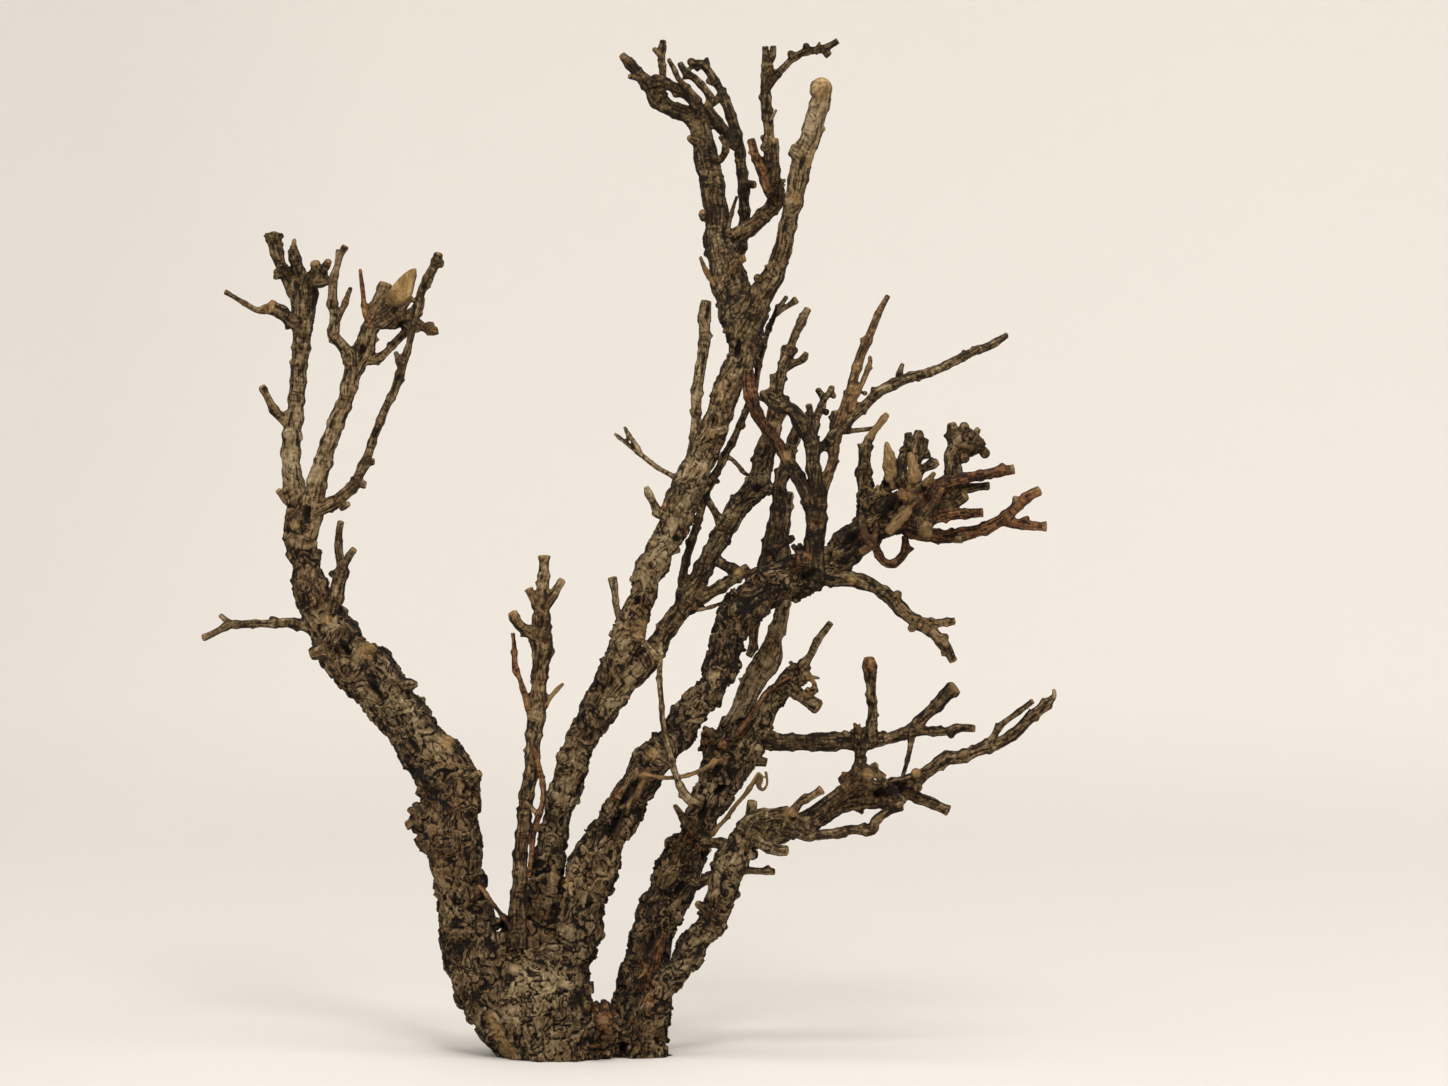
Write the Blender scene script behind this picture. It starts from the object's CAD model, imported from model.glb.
# %% [markdown]
# Driftwood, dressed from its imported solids.
# The real thing is one weathered piece of a many-forked shrub, sawn flat underneath so that it stands.
# Everything shown is that one piece of wood; it is modelled in stretches so that each stays light.

# %%
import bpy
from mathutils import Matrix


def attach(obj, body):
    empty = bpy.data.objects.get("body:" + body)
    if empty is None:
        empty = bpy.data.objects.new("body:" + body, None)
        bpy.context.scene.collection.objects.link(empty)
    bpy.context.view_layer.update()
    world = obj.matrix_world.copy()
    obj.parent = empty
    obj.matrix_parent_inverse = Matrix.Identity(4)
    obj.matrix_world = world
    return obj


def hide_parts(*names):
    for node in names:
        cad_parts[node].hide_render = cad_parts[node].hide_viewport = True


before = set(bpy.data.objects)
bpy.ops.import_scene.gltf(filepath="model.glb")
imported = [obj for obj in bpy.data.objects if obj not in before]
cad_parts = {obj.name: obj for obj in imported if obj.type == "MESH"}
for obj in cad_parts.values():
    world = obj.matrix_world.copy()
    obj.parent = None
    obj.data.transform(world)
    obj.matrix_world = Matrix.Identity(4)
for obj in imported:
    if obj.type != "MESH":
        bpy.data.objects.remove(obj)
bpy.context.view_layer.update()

import bpy
import bmesh
import math
import random
from mathutils import Vector, noise, kdtree

# %% [markdown]
# The frame of the wood, as the solids have it: limbs are rows of stations (across, up, radius) in
# millimetres as a level eye 1.2 m in front sees them, each row with its own depths.

# %%
MM = 0.001
EYE_DISTANCE = 1.2        # m, from the eye to the middle of the wood
EYE_ACROSS = 47.3         # mm, the middle of the picture, in the table's across
EYE_UP = 176.5            # mm, the same in the table's up
EYE_HEIGHT = 0.17385      # m, the eye over the floor
PICTURE_WIDE = 0.4923     # m of the picture plane that the lens takes in
VOXEL = 0.00055      # m, resolution of the wood's skin
SEED = 11                 # of the random draws
NOISE_SEED = 1795873277   # without one, noise_vector takes its offsets from the clock
noise.seed_set(NOISE_SEED)

# %% [markdown]
# The routes of every limb and twig, repeated from the solids, with the finer twigs, knobs and
# fibres added that are too thin to be solids. A word after a row says how that twig is tinted.
# First the butt: the bole, the feet of the limbs running down into it, and the low right lobe.

# %%
STEMS = {
    "stump": [
        ((0, 1), [(-8, -4, 16.5), (-11, 8, 17), (-16, 18, 18), (-21, 28, 17), (-25, 36, 13.5), (-27, 43, 9)]),
        ((-3, 0, 2), [(-14, -3, 11), (-20, 8, 11.5), (-27, 17, 11.5), (-34, 27, 11), (-38.5, 37, 9.8),
         (-41, 50, 9)]),
        ((2, 3, 2), [(-8, 4, 14), (-12, 20, 13), (-14.5, 34, 10), (-14, 45, 7.5), (-13, 58, 6.2)]),
        ((-3, -3, -2), [(-4, -2, 13), (-9, 12, 12.5), (-9, 24, 11), (-6, 36, 8.6), (-3, 46, 8.3),
         (-1.5, 55, 8.2)]),
        ((0, 2, 4), [(19, -2, 9), (18.5, 6, 9.3), (18.5, 14, 10), (19.5, 22, 9.5)]),
        ((0,), [(-4, 8, 12), (6, 8, 10), (17, 8, 9)]),
        ((-2,), [(-18, 30, 8), (-22, 40, 6), (-22.8, 47, 3.4)]),
        ((-8,), [(7, 18.5, 2.4)]),
        ((-8,), [(0.5, 27, 2.2), (1.5, 23, 1.8)]),
        ((-13, -19), [(6.5, 14.5, 3.4), (6.8, 14.6, 3.0)]),
    ],
}
print("limbs and twigs:", len(STEMS))

# %% [markdown]
# The left limb leans out in a bend, carries a thin side twig and the upright shoot in the crotch, and
# forks into three stems that end in clusters of buds.

# %%
STEMS.update({
    "left_limb": [
        ((2, -6, 0, 6, 10, 10, 8), [(-41, 50, 9), (-42.7, 62, 8.8), (-44.5, 70, 9.3), (-46, 80, 9.5),
         (-45.5, 90, 9.3), (-47, 97, 10.2), (-53.5, 105, 8.6), (-58.5, 112, 8.3), (-64, 120, 8.8),
         (-72, 131, 9), (-79.5, 136.5, 9.3), (-84, 143, 8), (-87.5, 149.5, 7.6), (-91.5, 156, 6.5),
         (-93.5, 162, 5.8), (-94.5, 168, 5), (-95.8, 175, 5), (-96.5, 181, 5.4), (-95.5, 187, 5.6)]),
        ((-6,), [(-57.8, 83, 2.4), (-55.5, 81.5, 4.2), (-50, 80, 5.5)]),
        ((-5,), [(-56.3, 77, 2.2), (-54, 74, 2.6), (-49, 73, 4)]),
        ((-4,), [(-57, 93.5, 2.0), (-54, 92.5, 3.2), (-49, 91, 5)]),
        ((-8, -10), [(-39, 96, 3), (-35.5, 98.5, 1.2)]),
        ((2,), [(-63, 128, 3), (-56.7, 128.5, 1)]),
        ((8, 4), [(-92, 147.5, 2.4), (-98, 149, 1.7), (-104, 149.2, 1.6), (-110, 149.2, 1.3), (-116, 149, 1.3),
         (-120.5, 148.8, 1.5)]),
        ((4, 0), [(-120.5, 148.8, 1.4), (-124, 147, 1.2), (-128, 145, 1.2), (-130, 144.3, 1.1)]),
        ((4, 7), [(-120, 149, 1.2), (-121.5, 149.8, 1.1), (-124, 152, 1)]),
        ((6, 0), [(-87, 151, 3), (-85.5, 156, 2.5), (-84, 162, 2.5), (-82.5, 167, 2.1), (-83.2, 171, 1.5),
         (-83.8, 176, 1.3), (-83, 184, 1.1)]),
        ((2, -3), [(-82.5, 167, 1.6), (-80.5, 171.5, 1.3), (-78.5, 174.5, 1.3)]),
        ((2,), [(-86, 166, 1.3)]),
        ((1,), [(-93.5, 138.5, 1.6), (-88, 140, 3)]),
        ((2,), [(-100, 183, 1.8), (-97, 183, 4)]),
    ],
    "outer_fork": [
        ((9, 14, 20, 22), [(-96, 184, 4.6), (-97, 190, 4.1), (-99, 196, 3.6), (-99.7, 203, 3.2),
         (-99.7, 210, 3.1), (-99.3, 216, 3.2), (-98.2, 222, 2.8), (-97.6, 228, 2.5), (-97.2, 235, 2.7),
         (-96.6, 243, 2.9), (-96, 250, 3.6), (-95.6, 256, 4.4), (-95.5, 261, 5), (-96, 266, 4.3)]),
        ((13, 9), [(-100, 190, 1.8), (-104.5, 194.5, 1.1)]),
        ((17, 12), [(-100, 216, 2), (-102, 218, 1.7), (-105, 221, 1.6), (-107.5, 225, 1.4), (-110, 230, 1.2)]),
        ((20, 12), [(-97, 251, 3), (-100, 252, 2.4), (-103, 254.5, 2.2), (-107, 257, 2.6)]),
        ((13, 8), [(-107, 256.5, 1.6), (-111, 255.5, 1.1), (-115, 257.5, 1), (-119, 260, 0.9),
         (-122.5, 262, 0.8)]),
        ((21, 24), [(-97, 262, 3.5), (-100, 265, 2.6), (-103, 270, 2), (-104.5, 275, 2.1), (-105.5, 279, 2.8),
         (-105.6, 281.5, 3.1)]),
        ((22, 18), [(-96, 265, 3), (-97, 268, 2.3), (-98.5, 273, 2), (-99.5, 276.5, 1.8)]),
        ((18, 18), [(-99.2, 275, 1.2), (-98.8, 280, 0.7)]),
        ((22, 14), [(-94, 263, 3.2), (-93, 266, 2.6), (-91.5, 269, 2), (-91.8, 272, 1.4)]),
        ((16, 10), [(-91, 265, 2), (-88.5, 270, 1.4), (-87, 272.5, 1.2)]),
        ((16, 14), [(-92, 265, 2), (-87, 265.7, 1.6), (-85.5, 266.5, 1.3)]),
        ((20,), [(-104.5, 268.5, 1.6)]),
    ],
    "middle_fork": [
        ((6, 2, -4, -8), [(-94.5, 183, 4.8), (-92.4, 190, 4), (-91, 197, 3.2), (-88.9, 204, 2.8),
         (-87, 210, 2.8), (-85.3, 215.5, 2.7), (-83.8, 220, 2.6), (-81.7, 225, 2.5), (-80, 231, 2.8),
         (-78, 237, 3.2), (-75.5, 242, 3.4), (-73.5, 248, 2.7), (-72, 253, 2.5), (-70.5, 258, 2.3),
         (-68.5, 262, 2.4), (-67.5, 265, 2.3)]),
        ((-7, -12), [(-71, 251, 2.6), (-66, 254.5, 3), (-61.5, 261, 3.2)]),
        ((-8, -14), [(-80, 237, 2.4), (-80.5, 240.5, 2.1), (-83, 244, 1.9), (-85.5, 247.5, 2), (-85, 251, 1.8),
         (-85.2, 255, 1.7), (-86, 258, 1.8), (-85.8, 262, 1.6), (-85.5, 266, 1.5), (-84.5, 270, 1.2),
         (-83, 274, 1), (-81.2, 277.5, 1.2)]),
        ((-13, -13), [(-84.3, 271, 0.8), (-84.3, 276.5, 0.5)]),
        ((-10, -6), [(-84.6, 252, 1.4), (-82, 257, 1.1), (-80.5, 261, 1), (-79.5, 263.5, 0.8)]),
        ((-5, 2), [(-76, 239, 2), (-72, 238.4, 1.6), (-68, 241, 1.4), (-65, 244, 1.3), (-62, 247.5, 1.5),
         (-61, 249.5, 1.3)]),
        ((-8, -8), [(-73.5, 252, 1.2), (-75, 255, 0.9), (-75.5, 262, 0.8), (-76.5, 269.8, 0.7)], "rust"),
        ((-4, 4), [(-71, 252, 2.8), (-65, 252.6, 3), (-60, 253, 2.7), (-57, 256, 2), (-56, 260, 1.6)]),
        ((2, 6), [(-60, 252, 2), (-55, 250, 1.7), (-52, 248.5, 1.5), (-50, 248.5, 1.2)]),
        ((3,), [(-53, 250.5, 1.5)]),
        ((-3,), [(-80.5, 229, 3.2)]),
    ],
    "slender_fork": [
        ((4, 0, -8, -14), [(-92, 187, 2.6), (-88, 189, 2.3), (-84.5, 191, 2.1), (-81, 193.5, 2),
         (-78, 197, 1.8), (-76, 201, 1.8), (-74, 206, 1.5), (-72, 212, 1.4), (-69.5, 218, 1.4), (-67, 224, 1.4),
         (-64.5, 229, 1.4), (-62.5, 235, 1.5), (-61, 240, 1.3), (-59.5, 245, 1.2), (-58.5, 250, 1.4),
         (-57.5, 255, 1.3), (-55.5, 262, 1.4), (-54, 265, 1.6), (-52, 269, 1.6), (-50.5, 272, 1.5),
         (-49.7, 275.2, 1.2)]),
        ((-7, -6), [(-62.3, 235.5, 1.4), (-63.5, 239, 1.1), (-64.5, 241.5, 0.9)]),
        ((-14,), [(-51, 271.5, 1.2), (-48, 271.2, 1.2)]),
        ((-13,), [(-53, 266, 1.1), (-55.2, 266.6, 1)]),
        ((1.5,), [(-78.2, 197, 1.2), (-74.4, 196.2, 1.2)]),
        ((0, -2), [(-83, 188.6, 1.4), (-80, 190, 1)]),
        ((-1,), [(-74.6, 204.5, 1.2), (-71.4, 204, 1.1)]),
    ],
    "slender_shoot": [
        ((-10, -12, -13, -14, -16), [(-22.8, 44, 3), (-23, 50, 2.7), (-22.5, 56, 2.6), (-22, 62, 2.6),
         (-21.7, 72, 2.3), (-20.8, 80, 2.3), (-19.9, 90, 2.3), (-18.4, 100, 2.5), (-17.6, 110, 2.5),
         (-16.3, 118, 2.9), (-15.8, 124, 2.7), (-15.3, 132, 2.6), (-14.8, 138, 3), (-14.7, 141, 3.6),
         (-14.8, 147, 3.7), (-14.8, 152, 3), (-14.6, 157, 2.4), (-14.2, 163, 1.9), (-13.8, 172.4, 1.7)]),
        ((-15, -17), [(-14.5, 154, 2), (-11.8, 157.2, 1.6), (-7.5, 164.2, 1.4)]),
        ((-15, -14), [(-15.5, 154, 2), (-17.3, 157.2, 1.6), (-19.2, 161.1, 1.4)]),
        ((-15, -19), [(-16, 144, 2.4), (-18.1, 145.5, 2), (-22.4, 148.6, 1.8), (-24.7, 152.9, 1.8)]),
        ((-18,), [(-17.5, 147, 1.5)]),
        ((-14, -13), [(-12, 139, 1.6), (-10.5, 140.2, 0.8)]),
        ((-14, -15), [(-17.5, 118, 1.6), (-19.5, 121, 1), (-20.8, 126, 1), (-22, 130, 0.9), (-23.7, 134, 1.2),
         (-24, 140, 0.9), (-24.4, 146, 0.7)], "rust"),
        ((-13, -14), [(-15, 119.5, 1.4), (-13.5, 121, 0.9), (-11, 125, 0.8), (-7.2, 128.8, 0.6)], "tan"),
        ((-16, -17, -16), [(-17.5, 107, 1.2), (-16.6, 104.6, 1), (-15.4, 99.5, 1), (-14.3, 95, 1), (-14, 90, 1),
         (-14.9, 86, 1), (-16.3, 82, 1.2), (-17.8, 77, 1.1), (-18.1, 72.4, 1), (-18.6, 66.6, 0.9),
         (-19.2, 62.4, 0.8)], "rust"),
        ((-15, -16), [(-19.5, 88, 0.9), (-16, 84, 0.9)]),
        ((-13, -14), [(-36.5, 60.3, 0.9), (-34.4, 58.4, 0.8), (-30.9, 53.4, 0.8), (-28, 49.6, 0.8),
         (-25, 45, 0.9)], "rust"),
    ],
})
print("limbs and twigs:", len(STEMS))

# %% [markdown]
# The tall limb is the straightest and longest. It rises to the crown, which forks into four stems.

# %%
STEMS.update({
    "tall_limb": [
        ((2, 3, 0, -6, -4, 0, 6, 8), [(-13, 58, 6.2), (-12, 70, 5.2), (-10.7, 80, 4.9), (-8, 90, 5.2),
         (-4.5, 100, 5.2), (-0.5, 110, 5.3), (3.5, 118, 5.5), (7, 125, 6), (10.5, 135, 4.8), (12.7, 140, 4.8),
         (15, 146, 5.4), (17, 152, 4.6), (19.5, 158, 4.4), (21, 164, 4.9), (23.5, 170, 5.6), (26.5, 176, 5),
         (29.5, 182, 5), (31.5, 187, 5.8), (33.5, 192, 5.8), (36, 198, 5.6), (39.5, 205, 5), (43, 213, 4.6),
         (45.4, 220, 4.3), (49, 230, 4.4), (53.1, 240, 5), (54.3, 247, 6), (54, 253, 7)]),
        ((-6,), [(13, 146, 5.2), (17, 148.5, 4.6)]),
        ((-9,), [(33, 187, 3), (32.5, 186.5, 2.6)]),
        ((-8,), [(6.5, 131, 2.6)]),
        ((0, -4), [(48, 215, 1.6), (43, 213.5, 2)]),
        ((-3, -4), [(13, 149, 1.8), (11.8, 151, 1.4), (10.7, 155, 1.1), (10.4, 158, 1.1), (10, 161, 1.4),
         (9.2, 165, 1.7)]),
        ((-5, -9), [(27, 186, 2), (24.6, 187.4, 1.7), (23.3, 190.2, 1.4), (21.6, 193.4, 1.3),
         (21.1, 195.6, 1.2)]),
        ((2, -4), [(35, 196, 1.4), (32, 198, 1), (25, 202, 0.9), (20, 205.7, 0.9), (15, 209.7, 0.8),
         (10, 213.7, 0.6)]),
        ((-2, -5), [(19.5, 206, 0.9), (17, 210.5, 0.8), (15, 213, 0.8), (13.5, 216, 0.6)]),
        ((-6, -7), [(10, 125, 1.5), (15.4, 124, 0.8)]),
        ((5,), [(46.8, 248.8, 1.2), (50, 248, 2)]),
        ((-9, -12, -14), [(15, 145.5, 1.5), (20.5, 142.4, 1.2), (24.8, 137.2, 1.2)]),
        ((-12, -15, -18, -16, -12), [(26, 143, 0.7), (25.6, 136, 1), (25.4, 130, 1), (26, 122.9, 1),
         (26.6, 115, 1), (28.1, 107.7, 1), (30, 101, 1.1), (32, 95, 1.2), (34, 91, 1.6), (36.5, 88.5, 1.8),
         (40, 87, 1.6)]),
        ((4, 8, 14), [(35, 199, 2.4), (36.4, 206, 2), (37.3, 211, 1.9), (37.8, 219, 1.8), (38, 228, 1.9),
         (39.3, 236, 1.8), (40.5, 244, 2), (40.8, 252, 2.1), (41.2, 259, 2)]),
    ],
    "crown_left": [
        ((8, 12, 16, 20), [(53.5, 251, 7), (50.5, 262, 6.4), (47.5, 270, 5.8), (46, 278, 5), (45, 286, 4.4),
         (44, 293, 4.1), (43, 300, 4.2), (41.5, 307, 4.3), (40, 313, 3.8), (39, 318, 3.7), (38, 322, 3.5)]),
        ((20, 22), [(38.5, 318, 3.4), (37, 322, 3), (33, 323, 2.9), (28, 325, 2.8), (24, 328, 2.9),
         (22.5, 331.5, 2.6), (19, 335, 2.1), (15.5, 339, 1.8), (12.5, 342.8, 1.3)]),
        ((15, 12), [(42, 307, 2), (46, 307, 1.3), (48, 311, 1.2), (46, 315, 1.1)]),
        ((21, 24), [(24.5, 329, 2), (26.2, 335, 1.4), (26.2, 341, 1.3), (26.6, 347.4, 1.2)]),
        ((24, 22), [(26.2, 341, 0.9), (23.3, 344.8, 0.7)]),
        ((21, 18), [(20.5, 334, 1.4), (14.8, 335.2, 0.8)]),
        ((18, 15, 19), [(39, 323, 2), (38, 325.5, 2), (34, 329, 1.9), (30, 331.5, 1.9), (26, 333.5, 2),
         (22.5, 333.5, 1.8)]),
        ((14, 12), [(39, 326, 1.4), (36.8, 329.2, 1.1), (32.1, 333.9, 1), (30, 338, 0.9), (28.3, 341.2, 0.8)]),
        ((19, 22), [(39.5, 322, 1.9), (42.7, 327.5, 1.5), (38, 333.9, 1.3), (34.5, 336.3, 1.3),
         (32.1, 339.8, 1.1)]),
        ((12, 8), [(41, 287, 2), (39.9, 289.3, 1)]),
        ((16, 14), [(38, 313, 2), (35, 314.5, 1)]),
        ((8, 4), [(47, 262, 1.2), (43.5, 265, 0.9), (41, 269.5, 0.9), (39.2, 274, 0.7)], "ochre"),
        ((6, 2), [(50, 268, 2), (51, 272, 1.8), (54.5, 273.5, 1.4)], "brown"),
        ((10, 9), [(47.5, 281, 1), (48.7, 283, 0.9), (49.7, 288, 0.8), (51.8, 294.5, 0.6)]),
    ],
    "crown_stem": [
        ((12, 21, 25, 25, 25, 24, 24, 24), [(48.5, 264, 2.6), (50, 269, 2.3), (53, 277, 2), (54, 286, 1.8),
         (54.2, 293, 1.8), (53.6, 300, 1.9), (52.8, 307, 1.8), (52, 313, 1.9), (50.5, 319, 1.9),
         (48.5, 325, 1.7), (46, 330.5, 1.5), (43, 335.5, 1.4), (40, 339.5, 1.4), (37, 338.5, 1.7)]),
        ((24, 22), [(54, 298.5, 1.4), (58, 298.3, 1.2)]),
        ((22, 18), [(51.8, 311, 1.8), (49.8, 312.5, 1.7), (47.5, 316.5, 2), (44, 321, 2.2), (40.5, 325, 2.2)]),
        ((24, 22), [(46.5, 329.5, 1.2), (43, 325, 0.9)]),
        ((24,), [(36.2, 340, 1.6)]),
    ],
    "crown_right": [
        ((6, 0, -8, -16), [(55, 251, 6), (58, 257, 5.2), (61, 263, 4.3), (64.5, 268, 3.5), (67, 275, 3),
         (68.5, 282, 2.7), (70, 289, 3), (71.8, 296, 3.3), (73, 303, 3.4), (74.5, 309, 3.7), (77, 315, 3.3),
         (78.5, 321, 3.6), (80, 326, 3.4), (80.6, 330, 2.9)]),
        ((-16,), [(80.3, 331, 3.9)]),
        ((-18,), [(78.8, 330.2, 2.6)]),
        ((-10,), [(69.6, 310.5, 2), (73, 309, 3)]),
        ((-2,), [(58.9, 266.5, 1.7)]),
    ],
    "crown_middle": [
        ((14, 8, 2, -2), [(46.5, 276, 4), (50, 280, 3.1), (55, 283, 2.6), (60, 287, 2.6), (64, 291, 2.8),
         (65.3, 296, 2.9), (63.8, 300, 2.3), (63, 306, 2.1), (62.5, 311, 1.8), (62.5, 317, 1.7), (62, 323, 1.9),
         (61.5, 329, 1.8), (61.5, 334, 1.7), (61.8, 339, 1.9)]),
        ((2, 8), [(64, 295, 2.4), (62, 298, 1.9), (60, 303, 1.7), (58, 308, 1.6), (56.4, 313.5, 1.5)], "rust"),
        ((-2, -3), [(61.7, 339, 1.5), (61.2, 345.5, 1)]),
        ((-2, -1), [(62, 339, 1.4), (64, 342, 1.1), (64, 345.5, 0.9)]),
        ((-1, -8), [(61.8, 331, 1.5), (65, 335.5, 1.3), (68, 338.5, 1.3), (71, 341.5, 1.3), (75, 343.5, 1.3),
         (79, 344, 1.2), (83, 345.5, 1.2), (86, 347.3, 1.1)]),
        ((-5,), [(70, 342.8, 1.4)]),
        ((-6,), [(75.2, 345.4, 1.3)]),
        ((-7,), [(83, 342, 1.4), (81.5, 344, 1)]),
        ((-1, -5), [(64.8, 299, 2), (64.8, 307, 1.3), (64.5, 314.3, 1.3)]),
        ((2,), [(61.2, 311, 1.7)]),
        ((0, -2), [(65, 298, 1.3), (68.3, 300, 0.7)]),
        ((-2,), [(63, 320, 0.8), (65.2, 324, 0.5)]),
    ],
    "inner_limb": [
        ((-4, -4, 0, 4), [(8, 122, 5), (12, 127.5, 4.8), (18, 133, 4.3), (22, 138.5, 3.7), (26, 144, 3.4),
         (30, 150, 3.3), (33.5, 155.5, 3.4), (36, 159, 4.2)]),
        ((2,), [(31, 159.5, 1.7), (34, 159, 2.6)]),
        ((4, 6), [(37, 157, 2.6), (41, 158.8, 2.2), (45, 161, 2), (50, 164, 2), (56, 168, 1.9)]),
        ((2, 4), [(36, 153.5, 1), (42, 154.5, 0.7), (49.5, 157.2, 0.6)]),
    ],
    "inner_fork": [
        ((4, 14, 22, 26), [(36, 159, 4), (38.5, 164, 3.3), (41, 169, 3.1), (44, 174.5, 3.2), (47, 180, 3.2),
         (50, 185, 3.6), (54, 190.5, 4.1), (58, 195.5, 4.5), (60, 200, 4), (61, 206, 3.4), (62.5, 212, 3.2),
         (64, 217, 3), (65.5, 222, 3)]),
        ((12, 10), [(43, 172, 2), (47, 169, 1.9), (52.5, 166.8, 1.8)]),
        ((18, 22), [(60, 195.5, 2.4), (66, 194.6, 1.8)]),
        ((16, 10), [(47, 181, 2), (46, 184, 1.7), (43.5, 188, 1.2), (41.5, 193, 1.1), (44, 197.5, 1),
         (45.7, 197, 0.8)]),
    ],
    "thin_stem": [
        ((4, 8, 12, 18), [(33.5, 157, 2.2), (33, 162, 1.6), (34.2, 170, 1.5), (35.8, 175, 1.4),
         (38, 182.5, 1.4), (39.6, 188, 1.3), (42, 196, 1.3), (45.2, 201.4, 1.4), (47.5, 206, 1.4),
         (49.8, 210, 1.3), (52.1, 215.3, 1.3), (54.4, 220.5, 1.2), (56.5, 226, 1.2), (58.4, 232, 1.1),
         (59, 236.7, 1.1), (60.2, 241.3, 1.1), (61.6, 246.5, 1.1), (63.1, 251, 1.1), (64.8, 254.6, 1),
         (68.8, 260.5, 0.9)]),
        ((18, 14), [(64.5, 254, 0.9), (68, 256.5, 0.9), (72.1, 259.3, 1.2)]),
        ((12, 8), [(46, 204, 1), (49, 205.5, 0.8), (52, 203, 0.8), (54, 200.5, 0.8), (56, 199.5, 0.7)]),
    ],
})
print("limbs and twigs:", len(STEMS))

# %% [markdown]
# The leaning limb bends over to the right and ends in the burl, a burst of short broken rods; dark
# stems, thin sprays and a drooping branch rise and hang from it.

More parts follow.
